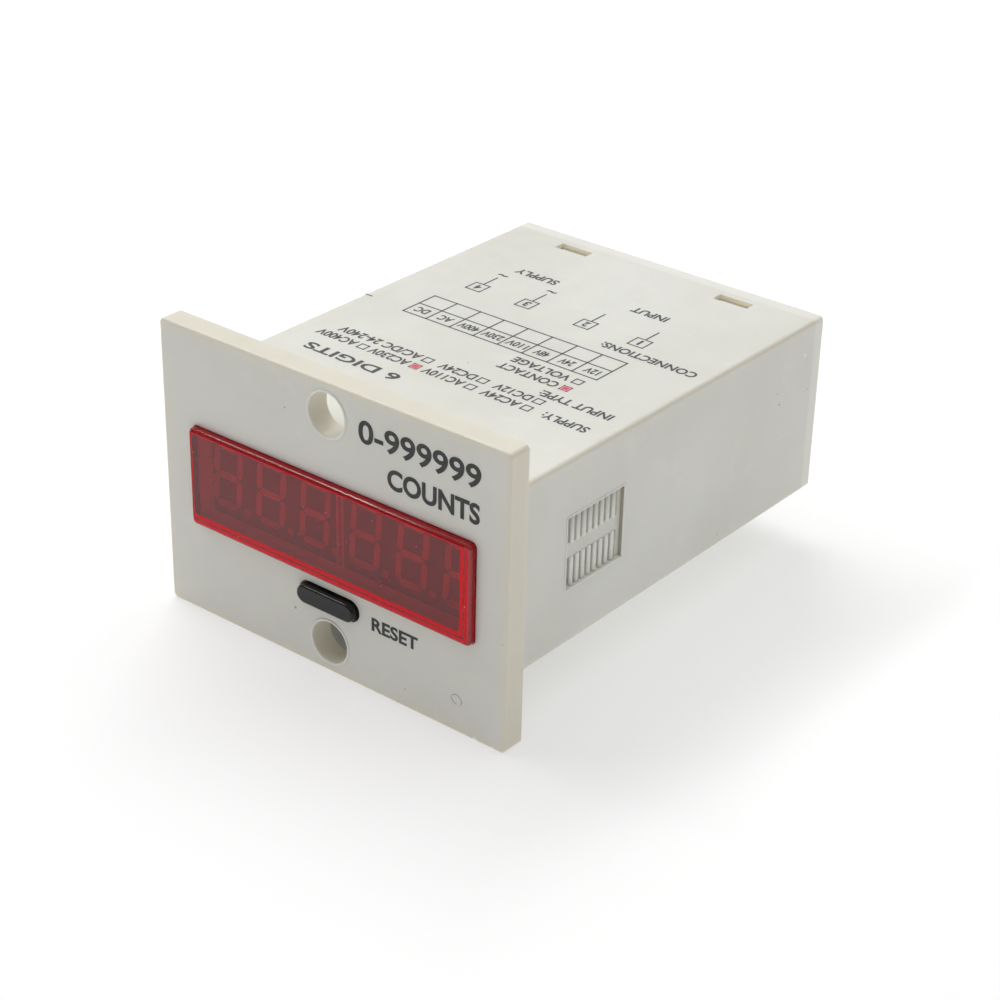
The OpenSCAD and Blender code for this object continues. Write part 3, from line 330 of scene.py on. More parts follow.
def dress(finish, *node_names):
    """Gives CAD nodes a finish by filling their material slots."""
    for name in node_names:
        slots = frame["nodes"][name].data.materials
        slots.clear()
        slots.append(finish.material)
    print(finish.material.name, "is on", ", ".join(node_names))


# %% [markdown]
# ## Cream plastic
# The case and its rear cover are moulded from a cream plastic. The mould was spark-eroded, so the
# surface has a very fine grain, it is a little warmer where it is thin, and handling has left specks
# and faint rubbed patches. A picture could hold all that, but it would stretch over the sides. Noise at
# three scales gives the same on every face: broad clouds for colour, middling ones for shine, and fine
# grain as bump.


# %% Cream plastic
def cream_colour(f, light, shade):
    """Cream between two tints in broad clouds, paler where it is rubbed, with a few dark specks."""
    colour = f.clouds(45, light, shade)
    rubbed = f.band(f.noise(160, 4.0, 0.65), 0.56, 0.72, 0.0, 0.3)
    colour = f.mix(rubbed, colour, srgb(236, 235, 228))
    return f.stain(colour, f.specks(420, 0.05, 0.60), 0.75, srgb(96, 88, 78)), rubbed


def cream_surface(f, rubbed):
    """Silky shine, a little light that travels under the skin, slow waves and fine grain."""
    shine = f.band(f.noise(300, 3.0), 0.25, 0.75, 0.36, 0.48)
    f.set(roughness=f.math("ADD", shine, f.times(rubbed, -0.12)))
    f.set(specular_ior_level=0.45, ior=1.5)
    f.set(subsurface_weight=0.35, subsurface_radius=(1.0, 0.78, 0.48), subsurface_scale=0.0016)
    waves = f.grain(38, 60e-6)
    f.bump(f.noise(5200, 2.0, 0.6), 7e-6, 0.55, under=waves)


def cream_plastic(name, light, shade):
    """Cream plastic between two tints, with no marks of its own."""
    f = Finish(name)
    colour, rubbed = cream_colour(f, light, shade)
    cream_surface(f.set(base_color=colour), rubbed)
    return f


dress(cream_plastic("cover_cream", srgb(234, 230, 215), srgb(228, 223, 206)), "rear_cover")

# %% [markdown]
# The case shows its use, and light and shade are painted into its colour. Its rims, the walls of its
# holes and the sleeve's long corners are painted warmer, a painted glow for the light that shines
# through them.
# The slots, the pocket walls that face up or down and the walls of the snap windows are painted paler,
# painted light that lifts their shade; the pocket walls that face front are a painted shade of dark
# olive;
# a paler band along the sleeve's rear end is a painted highlight. A few specks, nicks and a small curl
# of a scratch are on the bezel. Each is a mask made from the place on the case, so it stays where it is
# from every side.

# %% Case
case_cream = Finish("case_cream")
tint, rubbed = cream_colour(case_cream, srgb(228, 228, 220), srgb(222, 221, 212))
bezel_half = np.abs(case_points).max(0)
sleeve_half = np.abs(sleeve_points).max(0)
EDGE_FULL = 0.1 * MM
RIM_GLOW = 0.9 * MM
CORNER_GLOW = 0.6 * MM
REAR_LIP_FROM = 64.2 * MM
REAR_LIP_FULL = 64.9 * MM
print("bezel half size in mm:", np.round(bezel_half / MM, 2), "sleeve:", np.round(sleeve_half / MM, 2))


def warm_places(f):
    """Painted glow: 1 on the bezel's rim, in its holes and along the sleeve's corners, where light
    shines through.
    """
    on_bezel = f.band(f.axis("Y"), 0.3 * MM, 0.0)
    rim = [f.beyond(way, bezel_half[i] - EDGE_FULL, RIM_GLOW) for way, i in (("X", 0), ("Z", 2))]
    corner = [f.beyond(way, sleeve_half[i] - EDGE_FULL, CORNER_GLOW) for way, i in (("X", 0), ("Z", 2))]
    up_hole = f.math("SUBTRACT", f.math("ABSOLUTE", f.axis("Z")), hole_z)
    flat = f.add("ShaderNodeCombineXYZ", {"X": f.axis("X"), "Z": up_hole}).outputs["Vector"]
    off_hole = f.add("ShaderNodeVectorMath", {0: flat}, operation="LENGTH").outputs["Value"]
    in_hole = f.within(off_hole, hole_r + 0.1 * MM, 0.15 * MM)
    front = f.math("MAXIMUM", f.math("MAXIMUM", *rim), in_hole)
    behind = f.times(f.times(*corner), f.math("SUBTRACT", 1.0, on_bezel))
    return f.math("ADD", f.times(front, on_bezel), behind)


# Painted glow: these places are tinted warmer, standing in for the light that shines through them.
tint = case_cream.stain(tint, warm_places(case_cream), 0.7, srgb(226, 220, 202))
# Painted highlight: the sleeve is made paler towards its rear end, standing in for the light along its
# rear rim.
rear_highlight = case_cream.band(case_cream.axis("Y"), REAR_LIP_FROM, REAR_LIP_FULL, 0.0, 0.55)
tint = case_cream.mix(rear_highlight, tint, srgb(239, 238, 232))

# %% Masks for the marks and for painted light and shade
POCKET_DEEP = 0.5 * MM
POCKET_MIDDLE = 16.875 * MM
POCKET_HALF_LONG = 5.7 * MM
POCKET_HALF_TALL = 5.0 * MM
POCKET_SOFT = 0.1 * MM
SNAP_X, SNAP_Y = 13.5 * MM, 62.4 * MM
SNAP_HALF_LONG = 2.85 * MM
SNAP_HALF_WIDE = 1.05 * MM
SKIN_SOFT = 0.05 * MM
HAIR_HALF, HAIR_SOFT = 0.075 * MM, 0.035 * MM


def pocket_places(f):
    """1 inside the vent pockets, and 1 inside their slots."""
    in_y = f.within(f.off("Y", POCKET_MIDDLE), POCKET_HALF_LONG, POCKET_SOFT)
    in_z = f.within(f.off("Z", 0.0), POCKET_HALF_TALL, POCKET_SOFT)
    in_x = f.within(f.off("X", 0.0), sleeve_half[0] - 0.07 * MM, SKIN_SOFT)
    pocket = f.times(in_y, in_z, in_x)
    deeper = f.within(f.off("X", 0.0), sleeve_half[0] - POCKET_DEEP - 0.02 * MM, 0.02 * MM)
    return pocket, f.times(pocket, deeper)


def snap_places(f):
    """1 on the walls of the snap windows, below the skin of the top."""
    in_y = f.within(f.off("Y", SNAP_Y), SNAP_HALF_WIDE, SKIN_SOFT)
    along = f.math("SUBTRACT", f.math("ABSOLUTE", f.axis("X")), SNAP_X)
    in_x = f.within(f.math("ABSOLUTE", along), SNAP_HALF_LONG, SKIN_SOFT)
    below = f.within(f.axis("Z"), sleeve_top - 0.06 * MM, 0.04 * MM)
    return f.times(in_x, in_y, below)


def scratch_arc(f, x, y, z, radius, kept):
    """A hair line at a radius about a place in millimetres, kept only near a second place."""
    off_line = f.math("ABSOLUTE", f.math("SUBTRACT", f.away(x, y, z), radius * MM))
    return f.times(f.within(off_line, HAIR_HALF, HAIR_SOFT), f.dot(*kept))


# %% Case with its marks and its painted light and shade
in_pocket, in_slot = pocket_places(case_cream)
# Painted light: the slots are tinted near-white to lift the shade in them.
tint = case_cream.stain(tint, in_slot, 0.9, srgb(250, 248, 238))
# Painted light: the pocket walls that face up or down are tinted paler to lift their shade.
upward = case_cream.band(case_cream.faces_along("Z"), 0.5, 0.8)
tint = case_cream.stain(tint, in_pocket, upward, srgb(252, 250, 240))
# Painted shade: the pocket walls that face front, outside the slots, are tinted a dark olive.
shade_facing_front = case_cream.band(case_cream.faces_along("Y"), 0.5, 0.8, 0.05, 0.75)
between_slots = case_cream.math("SUBTRACT", in_pocket, in_slot)
tint = case_cream.stain(tint, between_slots, shade_facing_front, srgb(150, 143, 116))
# Painted light: the walls of the snap windows are tinted near-white to lift the shade inside them.
tint = case_cream.mix(snap_places(case_cream), tint, srgb(250, 243, 226))

curl = scratch_arc(case_cream, 20.49, -3.2, -15.55, 0.82, (20.90, -3.2, -14.95, 1.4))
hook = scratch_arc(case_cream, 20.94, -3.2, -14.80, 1.37, (20.08, -3.2, -15.68, 0.8))
tint = case_cream.stain(tint, case_cream.math("MAXIMUM", curl, hook), 0.7, srgb(132, 128, 116))
DARK_SPOTS = ((-5.8, -3.2, -13.0, 0.26), (-6.8, -3.2, 14.5, 0.16), (25.3, 57.0, 3.2, 0.22),
              (12.4, -3.2, -17.4, 0.14))
PALE_NICKS = ((23.4, -3.1, -19.8, 0.42), (26.1, -3.1, -19.8, 0.32), (25.3, 62.4, 8.5, 0.34))
MARKS = (DARK_SPOTS, 0.6, srgb(110, 100, 86)), (PALE_NICKS, 0.8, srgb(250, 249, 244))
for places, share, paint in MARKS:
    for place in places:
        tint = case_cream.stain(tint, case_cream.dot(*place), share, paint)
case_cream.set(base_color=tint)
cream_surface(case_cream, rubbed)
dress(case_cream, "case")

# %% [markdown]
# ## Red window
# The window is a tray of dyed acrylic. Nearly all of the light passes through it and turns red on the
# way, and the dye scatters a small rest. So the shader is clear, tinted and a little milky, in four
# strengths: for the pane, the rim, the polished edge and the wall below it. The rim's copy is made far
# milkier, a painted glow that stands in for the light the acrylic carries to its rim, and the wall's
# copy is a darker red, a painted shade. Faint waves and specks of dust keep its gloss from looking like
# a mirror.


# %% Red acrylic
def dyed_acrylic(name, red, clear, gloss, waves=25e-6):
    """Dyed acrylic of which a share is clear and the rest milky, with dust and faint waves."""
    f = Finish(name)
    dust = f.specks(900, 0.09, 0.53)
    haze = f.band(f.noise(210, 4.0, 0.6), 0.3, 0.8, 0.03, 0.10)
    f.set(base_color=f.mix(dust, red, (0.85, 0.42, 0.40, 1.0)))
    f.set(roughness=f.math("ADD", haze, f.times(dust, 0.4)))
    f.set(transmission_weight=clear, ior=1.49, specular_ior_level=gloss)
    f.grain(55, waves, 0.4)
    return f


red_pane = dyed_acrylic("red_pane", (0.92, 0.020, 0.040, 1.0), 0.96, 0.16)
# Painted glow: the rim's copy is far milkier than the pane.
red_rim = dyed_acrylic("red_rim", (0.93, 0.008, 0.020, 1.0), 0.22, 0.08)
red_edge = dyed_acrylic("red_edge", (0.90, 0.012, 0.026, 1.0), 0.66, 1.0, 6e-6)
# Painted shade: the wall's copy is a darker red.
red_wall = dyed_acrylic("red_wall", (0.60, 0.004, 0.012, 1.0), 0.55, 0.22)
tray_finishes = (red_pane, red_rim, red_edge, red_wall)
print("finishes of the window:", [finish.material.name for finish in tray_finishes])

# %% [markdown]
# The tray itself is drawn again instead of keeping its solid, because clear pieces must not share a
# face with what lies behind them: light would not know which of the two it meets. The new tray ends a
# hair's breadth short of the displays, and a film of pale glue fills that hair, which throws the light
# back through the rim. The tray is one skin: rounded rectangles of changing size, from the middle of
# the front round the edge, back along the rim, round the foot and into the hollow. Each one is four
# quarter circles joined by straight sides.


# %% Rings and skins
def rounded_ring(half_w, half_h, corner, y, per_corner=7):
    """A rounded rectangle at depth y: corner centres plus quarter circles, all round the front."""
    a = np.linspace(0, np.pi / 2, per_corner)
    a = (a[None] + np.arange(4)[:, None] * np.pi / 2).ravel()
    side_x = np.repeat([1, -1, -1, 1], per_corner) * (half_w - corner)
    side_z = np.repeat([1, 1, -1, -1], per_corner) * (half_h - corner)
    depth = np.full(len(a), y)
    return np.column_stack([side_x + corner * np.cos(a), depth, side_z + corner * np.sin(a)])


def lofted(rings, first_middle=None, last_middle=None):
    """Skin of triangles between rings of equal count, with fans to a middle point where it is given."""
    count = len(rings[0])
    quads = grid_quads(len(rings), count, closed_columns=True)
    faces = [quads[:, [0, 2, 1]], quads[:, [0, 3, 2]]]
    corners = [np.vstack(rings)]
    total = len(rings) * count
    ring_numbers = np.arange(count)
    following = np.roll(ring_numbers, -1)
    if first_middle is not None:
        faces.append(np.column_stack([ring_numbers, following, np.full(count, total)]))
        corners.append([first_middle])
    if last_middle is not None:
        fan = np.column_stack([following, ring_numbers, np.full(count, count + 1)])
        faces.append(fan + total - count)
        corners.append([last_middle])
    return np.vstack(corners), np.vstack(faces)


# %% Window tray
tray = points("display_lens")
tray_front = tray[:, 1].min()
tray_back = tray[:, 1].max()
proud = tray[tray[:, 1] < bezel_front]
tray_middle = halfway(proud)
tray_w, _, tray_h = np.ptp(proud, axis=0) / 2
foot_w, _, foot_h = np.ptp(tray, axis=0) / 2
foot_y = tray[(np.abs(tray[:, 2] - tray_middle[2]) > tray_h + 0.5 * MM)][:, 1].min()
SHEET = 1.2 * MM
RIM = 1.0 * MM
EDGE = 0.42 * MM
# Painted glow: the rim's inner edge moves up and to the left, so the milky rim is wide at the bottom
# and right and thin at the top and left.
RIM_SHIFT = np.array([-0.42, 0, 0.45]) * MM
GLUE = 0.05 * MM
TRAY_CORNER = 0.7 * MM
FOOT_CORNER = 0.6 * MM
HOLLOW_CORNER = 0.4 * MM
tray_end = tray_back - GLUE
turn = np.linspace(0, np.pi / 2, 6)
edge_in = EDGE * (1 - np.sin(turn))
edge_y = tray_front + EDGE * (1 - np.cos(turn))
tray_rings = [rounded_ring(tray_w - d, tray_h - d, HOLLOW_CORNER, tray_front) + RIM_SHIFT * d / RIM
              for d in (1.1 * RIM, 0.72 * RIM, 0.60 * RIM)]
tray_rings += [rounded_ring(tray_w - d, tray_h - d, TRAY_CORNER - d, y)
               for d, y in zip(edge_in, edge_y)]
tray_rings += [rounded_ring(tray_w, tray_h, TRAY_CORNER, foot_y)]
tray_rings += [rounded_ring(foot_w, foot_h, FOOT_CORNER, y) for y in (foot_y, tray_end)]
tray_rings += [rounded_ring(tray_w - RIM, tray_h - RIM, HOLLOW_CORNER, y)
               for y in (tray_end, tray_front + SHEET)]
offset = np.array([tray_middle[0], 0, tray_middle[2]])
tray_skin = lofted(tray_rings, (0, tray_front, 0), (0, tray_front + SHEET, 0))
window_tray = new_piece("window_tray", tray_skin[0] + offset, tray_skin[1], "housing", "red_lens",
                        red_pane, True)
window_tray.data.set_sharp_from_angle(angle=math.radians(32))
for finish in tray_finishes[1:]:
    window_tray.data.materials.append(finish.material)
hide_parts("display_lens")

# %% Finishes of the tray's faces
count = len(tray_rings[0])
of_ring = np.arange((len(tray_rings) - 1) * count) // count
milky = (of_ring == 0) | (of_ring == 2) | (of_ring >= len(tray_rings) - 2)
rounded = (of_ring > 2) & (of_ring < len(turn) + 2)
walled = of_ring == len(turn) + 2
skin_finish = milky + 2 * rounded + 3 * walled
face_finish = np.concatenate([skin_finish, skin_finish, np.zeros(2 * count, int)]).astype(np.int32)
window_tray.data.polygons.foreach_set("material_index", face_finish)
print("faces of pane, rim, edge and wall:", np.bincount(face_finish))

# %% Film of glue
pale_glue = Finish("pale_glue")
cloud = pale_glue.noise(700, 3.0)
pale_glue.set(base_color=pale_glue.mix(cloud, srgb(236, 232, 226), srgb(222, 214, 206)))
pale_glue.shine(900, 0.5, 0.65)
pale_glue.grain(2500, 8e-6)
GLUE_CORNER = 0.5 * MM
film_from = tray_end + 0.1 * GLUE
film_to = tray_back - 0.1 * GLUE
film = [(foot_w, foot_h, film_from), (foot_w, foot_h, film_to),
        (tray_w - RIM, tray_h - RIM, film_to), (tray_w - RIM, tray_h - RIM, film_from)]
film_rings = [rounded_ring(w, h, GLUE_CORNER, y) for w, h, y in film]
film_faces = grid_quads(len(film), len(film_rings[0]), True, True)[:, ::-1]
film_corners = np.vstack(film_rings) + offset
new_piece("window_glue", film_corners, film_faces, "housing", "white_epoxy", pale_glue)

# %% [markdown]
# ## Black key
# The key is moulded from a dark plastic with a silky face. Fingers polish its middle, so its shine
# varies slowly, and dust sits in its grain as a faint lighter bloom.

# %% Black key
key_black = Finish("key_black")
bloom = key_black.band(key_black.noise(700, 4.0, 0.7), 0.45, 0.8, 0.0, 0.5)
key_black.set(base_color=key_black.mix(bloom, srgb(13, 13, 17), srgb(27, 27, 33)))
key_black.shine(240, 0.07, 0.15, 3.0).set(specular_ior_level=0.38)
key_black.grain(6000, 5e-6, 0.6)
dress(key_black, "reset_button")

# %% [markdown]
# ## Display faces and segments
# Behind the window sit two blocks with three numerals each. Their faces are painted dark, so that the
# segments, little pockets of milky resin, stand out even when they are not lit. Where the two blocks
# meet, the paint stops short and leaves a paler strip. Paint and resin differ in colour and in shine:
# the paint is dry and grainy, and the resin is smooth with tiny bubbles.

# %% Display faces
BARE_STRIP = 0.45 * MM, 0.75 * MM
display_paint = Finish("display_paint")
smear = display_paint.band(display_paint.noise(330, 4.0, 0.6), 0.35, 0.75)
dark = display_paint.mix(smear, srgb(78, 60, 62), srgb(94, 74, 75))
bare = display_paint.mix(smear, srgb(222, 214, 208), srgb(206, 196, 190))
squarely = display_paint.band(display_paint.faces_along("Y"), 0.6, 0.8)
off_joint = display_paint.band(display_paint.off("X", 0.0), *BARE_STRIP)
display_paint.set(base_color=display_paint.stain(bare, squarely, off_joint, dark))
display_paint.shine(900, 0.55, 0.7)
display_paint.grain(7000, 4e-6)
dress(display_paint, "led_module_left", "led_module_right")

# %% Segments
segment_resin = Finish("segment_resin")
bubbles = segment_resin.specks(2600, 0.16, 0.45)
milk = segment_resin.clouds(500, srgb(196, 160, 156), srgb(172, 138, 134))
segment_resin.set(base_color=segment_resin.mix(bubbles, milk, srgb(128, 102, 100)))
segment_resin.shine(1500, 0.25, 0.4)
segment_resin.set(subsurface_weight=0.2, subsurface_radius=(1.0, 0.5, 0.4), subsurface_scale=0.0004)
segment_resin.grain(1800, 6e-6)
dress(segment_resin, "led_segments_left", "led_segments_right")

# %% [markdown]
# ## Circuit boards
# A board is glass cloth in resin with copper tracks under a green varnish. The tracks stand a few
# hundredths of a millimetre proud, so they show as lighter lines with a soft edge. A brick pattern with
# long thin bricks is a good stand-in for rows of tracks, a cloud leaves some areas plain, and the cut
# edges show the bare cloth.


# %% Circuit boards
def board_varnish(name, flat_axis, turn):
    """Green varnish over rows of tracks on the faces along one axis, bare glass cloth on the edges."""
    f = Finish(name)
    laid = f.add("ShaderNodeMapping", {"Vector": f.place, "Rotation": turn}).outputs["Vector"]
    inputs = {"Vector": laid, "Scale": 110.0, "Mortar Size": 0.035, "Mortar Smooth": 0.3,
              "Brick Width": 1.7, "Row Height": 0.16, "Color1": (1, 1, 1, 1), "Color2": (1, 1, 1, 1),
              "Mortar": (0, 0, 0, 1)}
    rows = f.add("ShaderNodeTexBrick", inputs, offset=0.37, squash=1.6, squash_frequency=3)
    tracks = f.times(rows.outputs["Color"], f.band(f.noise(95, 1.0), 0.47, 0.50))
    green = f.clouds(240, srgb(20, 78, 46), srgb(28, 92, 54))
    green = f.mix(tracks, green, srgb(52, 128, 70))
    weave = f.noise(2600, 1.0, 0.5, stretch=(1, 1, 3))
    cloth = f.mix(f.band(weave, 0.35, 0.65), srgb(176, 168, 116), srgb(146, 138, 92))
    face = f.band(f.faces_along(flat_axis), 0.6, 0.8)
    f.set(base_color=f.mix(face, cloth, green), coat_weight=0.25)
    f.shine(420, 0.26, 0.42, 3.0)
    f.bump(f.math("ADD", tracks, f.times(f.noise(3000, 1.0), 0.2)), 22e-6, 0.7)
    return f


dress(board_varnish("main_board_varnish", "Z", (0, 0, math.radians(90))), "main_board")
dress(board_varnish("display_board_varnish", "Y", (math.radians(90), 0, 0)), "display_board")

# %% [markdown]
# ## Metals
# Leads and solder are tin, the terminal plates are brass, screws and clamp washers are plated steel,
# and the crystal wears a drawn nickel can. A metal shows its colour only in its reflections, so what
# tells them apart is the tint and the shine: tin is dull and cloudy, brass tarnishes in patches,
# plating is bright with fine scratches from turning or stamping.


# %% Metals
def metal(name, bright, dull, shine, grain, scratch=None, depth=3e-6):
    """A metal that goes from bright to dull in clouds, with scratches drawn out along one way."""
    f = Finish(name)
    tarnish = f.band(f.noise(grain, 4.0, 0.65), 0.38, 0.72)
    fine = f.noise(4200, 3.0, 0.6, stretch=scratch)
    low, high = shine
    f.set(base_color=f.mix(tarnish, bright, dull), metallic=1.0)
    f.set(roughness=f.math("ADD", f.band(tarnish, 0.0, 1.0, low, high), f.times(fine, 0.12)))
    f.bump(fine, depth, 0.6)
    return f


tin = metal("tin", srgb(206, 206, 204), srgb(160, 160, 158), (0.22, 0.42), 900)
brass = metal("brass", srgb(222, 190, 118), srgb(170, 132, 74), (0.20, 0.40), 420, (1, 1, 0.08))
plated_screw = metal("plated_screw", srgb(214, 214, 210), srgb(176, 174, 166), (0.16, 0.34), 500)
plated_washer = metal("plated_washer", srgb(204, 203, 198), srgb(164, 162, 154), (0.24, 0.40), 460,
                      (0.08, 1, 1))
nickel_can = metal("nickel_can", srgb(212, 210, 202), srgb(178, 175, 166), (0.14, 0.28), 300,
                   (1, 1, 0.05))
DISPLAY_LEADS = ("led_pins_left", "led_pins_right", "switch_pins")
MAIN_LEADS = ("controller_pins", "memory_pins", "opto_pins", "crystal_leads", "film_capacitor_leads",
              "filter_capacitor_leads", "diode_leads", "driver_leads", "resistor_leads")
dress(tin, *DISPLAY_LEADS, *MAIN_LEADS, "switch_cover", "switch_dome", "board_solder")
dress(brass, "terminal_plates")
dress(plated_screw, "terminal_screws")
dress(plated_washer, "terminal_washers")
dress(nickel_can, "crystal")

# %% [markdown]
# ## Pieces on the boards
# Chips and drivers are cast in black epoxy with a sandy skin, the coupler that keeps the input apart
# from the logic in a white one. Both come from one recipe with two tints. The switch is black moulding
# with a pale plunger.


# %% Cast epoxy
def cast_epoxy(name, light, dark, depth=9e-6):
    """A sandy cast resin: two tints in clouds and a coarse fine-grained skin."""
    f = Finish(name)
    f.set(base_color=f.mix(f.band(f.noise(650, 4.0, 0.7), 0.35, 0.7), dark, light))
    f.shine(1300, 0.5, 0.68)
    f.bump(f.noise(5600, 3.0, 0.7), depth, 0.7)
    return f


dress(cast_epoxy("black_epoxy", srgb(46, 46, 48), srgb(30, 30, 32)),
      "controller_chip", "memory_chip", "digit_drivers")
dress(cast_epoxy("white_epoxy", srgb(226, 225, 218), srgb(208, 206, 197)), "opto_coupler")
dress(cast_epoxy("switch_black", srgb(40, 40, 43), srgb(26, 26, 28), 4e-6), "switch_body")
dress(cast_epoxy("plunger_white", srgb(224, 222, 214), srgb(206, 203, 194), 4e-6), "switch_plunger")

# %% [markdown]
# Resistors and diodes carry painted rings. All resistors lie side by side with the same value, so their
# rings are bands across the board: a ramp along y, measured from the row's middle, paints all eight at
# once. The diodes stand in two columns, so their single ring is measured from each column's middle
# along x.


# %% Resistors
def ring(f, along, middle, half):
    """1 inside a band of a coordinate, 0 outside, with a soft paint edge."""
    return f.within(f.off(along, middle), half, 0.08 * half)


row_middle = halfway(points("segment_resistors")[:, 1])
RING_HALF = 0.32 * MM
RINGS = ((-2.35, srgb(214, 106, 34)), (-0.95, srgb(214, 106, 34)), (0.25, srgb(96, 56, 34)),
         (2.3, srgb(196, 158, 74)))
resistor_coat = Finish("resistor_coat")
coat = resistor_coat.clouds(800, srgb(206, 184, 142), srgb(188, 164, 122))
for step, paint in RINGS:
    coat = resistor_coat.mix(ring(resistor_coat, "Y", row_middle + step * MM, RING_HALF), coat, paint)
resistor_coat.set(base_color=coat, coat_weight=0.3)
resistor_coat.shine(1100, 0.3, 0.45)
resistor_coat.grain(2400, 10e-6)
dress(resistor_coat, "segment_resistors")

# %% Diodes
column = points("rectifier_diodes")[:, 0]
sides = column[column < column.mean()], column[column >= column.mean()]
middles = [halfway(side) for side in sides]
CATHODE_STEP = 1.6 * MM
CATHODE_HALF = 0.45 * MM
diode_coat = Finish("diode_coat")
coat = diode_coat.clouds(900, srgb(34, 34, 36), srgb(48, 47, 48))
for middle in middles:
    painted = ring(diode_coat, "X", middle + CATHODE_STEP, CATHODE_HALF)
    coat = diode_coat.mix(painted, coat, srgb(196, 196, 192))
diode_coat.set(base_color=coat).shine(1200, 0.4, 0.56)
diode_coat.grain(4800, 6e-6)
dress(diode_coat, "rectifier_diodes")

# %% [markdown]
# The film capacitor is a yellow box with a glossy skin. The filter capacitor is an aluminium can in a
# shrunk blue sleeve, with a pale stripe that marks one side and a bare lid. Both marks follow from the
# place: the stripe is a narrow range of the angle round the can's own axis, and the lid is what faces
# up within the sleeve's rim.

# %% Film capacitor
film_skin = Finish("film_skin")
film_skin.set(base_color=film_skin.clouds(260, srgb(226, 182, 44), srgb(208, 160, 34), 4.0))
film_skin.shine(600, 0.24, 0.42, 3.0).set(coat_weight=0.2)
film_skin.grain(1500, 12e-6, 0.5, 3.0)
dress(film_skin, "film_capacitor")

# %% Filter capacitor
can = points("filter_capacitor")
can_middle = halfway(can)
STRIPE_ANGLE = 0.40
LID_RADIUS = 3.25 * MM
can_sleeve = Finish("can_sleeve")
off_x = can_sleeve.math("SUBTRACT", can_sleeve.axis("X"), float(can_middle[0]))
off_y = can_sleeve.math("SUBTRACT", can_sleeve.axis("Y"), float(can_middle[1]))
angle = can_sleeve.math("ARCTAN2", off_y, off_x)
stripe = can_sleeve.within(can_sleeve.math("ABSOLUTE", angle), STRIPE_ANGLE, 0.02)
blue = can_sleeve.clouds(500, srgb(28, 36, 70), srgb(38, 48, 88))
blue = can_sleeve.mix(stripe, blue, srgb(190, 194, 206))
squared = can_sleeve.math("ADD", can_sleeve.times(off_x, off_x), can_sleeve.times(off_y, off_y))
reach = can_sleeve.math("SQRT", squared)
upward = can_sleeve.band(can_sleeve.faces_along("Z"), 0.9, 0.95)
lid = can_sleeve.times(upward, can_sleeve.within(reach, LID_RADIUS, SKIN_SOFT))
can_sleeve.set(base_color=can_sleeve.mix(lid, blue, srgb(206, 206, 204)), metallic=lid)
can_sleeve.shine(900, 0.26, 0.40, 3.0)
can_sleeve.grain(1600, 10e-6, 0.4)
dress(can_sleeve, "filter_capacitor")

# %% [markdown]
# ## Ink
# The legends are pad printed: a thin film of ink that is a little uneven and lets the plastic's grain
# through. Letters are made as Blender text, because its outlines are already curves with the right
# shapes. They are made a mesh at once, and their points are then laid on the face as an array: u runs
# along the words, v up the letters, and w through the film's thickness.

# %% Ink finishes
INK_FILM = 0.02 * MM


def ink(name, dark, light):
    """A printed film between two tints, thin in spots."""
    f = Finish(name)
    thin = f.band(f.noise(2300, 4.0, 0.7), 0.52, 0.78, 0.0, 0.55)
    f.set(base_color=f.mix(thin, dark, light))
    f.shine(1400, 0.46, 0.62)
    f.grain(5200, 6e-6)
    return f


black_ink = ink("black_ink", srgb(46, 45, 43), srgb(86, 84, 79))
grey_ink = ink("grey_ink", srgb(70, 69, 67), srgb(118, 116, 111))
red_ink = ink("red_ink", srgb(204, 84, 104), srgb(222, 140, 150))
white_ink = ink("white_ink", srgb(222, 222, 214), srgb(186, 190, 178))
print("inks:", [i.material.name for i in (black_ink, grey_ink, red_ink, white_ink)])


# %% Words and bars as arrays
def face_frame(along, upright):
    """The three ways of a printed face: along the words, up the letters, and out of the face."""
    along = np.array(along, float)
    upright = np.array(upright, float)
    return along, upright, np.cross(along, upright)


def lay(flat, start, ways):
    """Carries points of u, v, w in metres to start + u along + v upright + w outward."""
    along, upright, outward = ways
    return np.array(start) + flat[:, :1] * along + flat[:, 1:2] * upright + flat[:, 2:] * outward


def words(text, start, width, height, ways, bold=0.0):
    """Letters fitted to a width and a height, as points and triangles of a thin closed film."""
    curve = bpy.data.curves.new("letters", "FONT")
    curve.body = text
    curve.extrude = 0.5
    curve.offset = bold
    curve.resolution_u = 5
    holder = bpy.data.objects.new("letters", curve)
    bpy.context.scene.collection.objects.link(holder)
    seen = holder.evaluated_get(bpy.context.evaluated_depsgraph_get())
    mesh = bpy.data.meshes.new_from_object(seen)
    mesh.calc_loop_triangles()
    flat = mesh_points(mesh)
    faces = np.empty(len(mesh.loop_triangles) * 3, np.int32)
    mesh.loop_triangles.foreach_get("vertices", faces)
    bpy.data.objects.remove(holder)
    bpy.data.curves.remove(curve)
    bpy.data.meshes.remove(mesh)
    flat = (flat - flat.min(0)) / np.ptp(flat, axis=0)
    flat, welded = np.unique(np.round(flat, 6), axis=0, return_inverse=True)
    flat = flat * np.array([width, height, INK_FILM])
    return lay(flat, start, ways), welded.ravel()[faces].reshape(-1, 3)


BOX_CORNERS = np.array([[0, 0, 0], [1, 0, 0], [1, 1, 0], [0, 1, 0],
                        [0, 0, 1], [1, 0, 1], [1, 1, 1], [0, 1, 1]], float)
BOX_FACES = np.array([[0, 2, 1], [0, 3, 2], [4, 5, 6], [4, 6, 7], [0, 1, 5], [0, 5, 4],
                      [1, 2, 6], [1, 6, 5], [2, 3, 7], [2, 7, 6], [3, 0, 4], [3, 4, 7]])


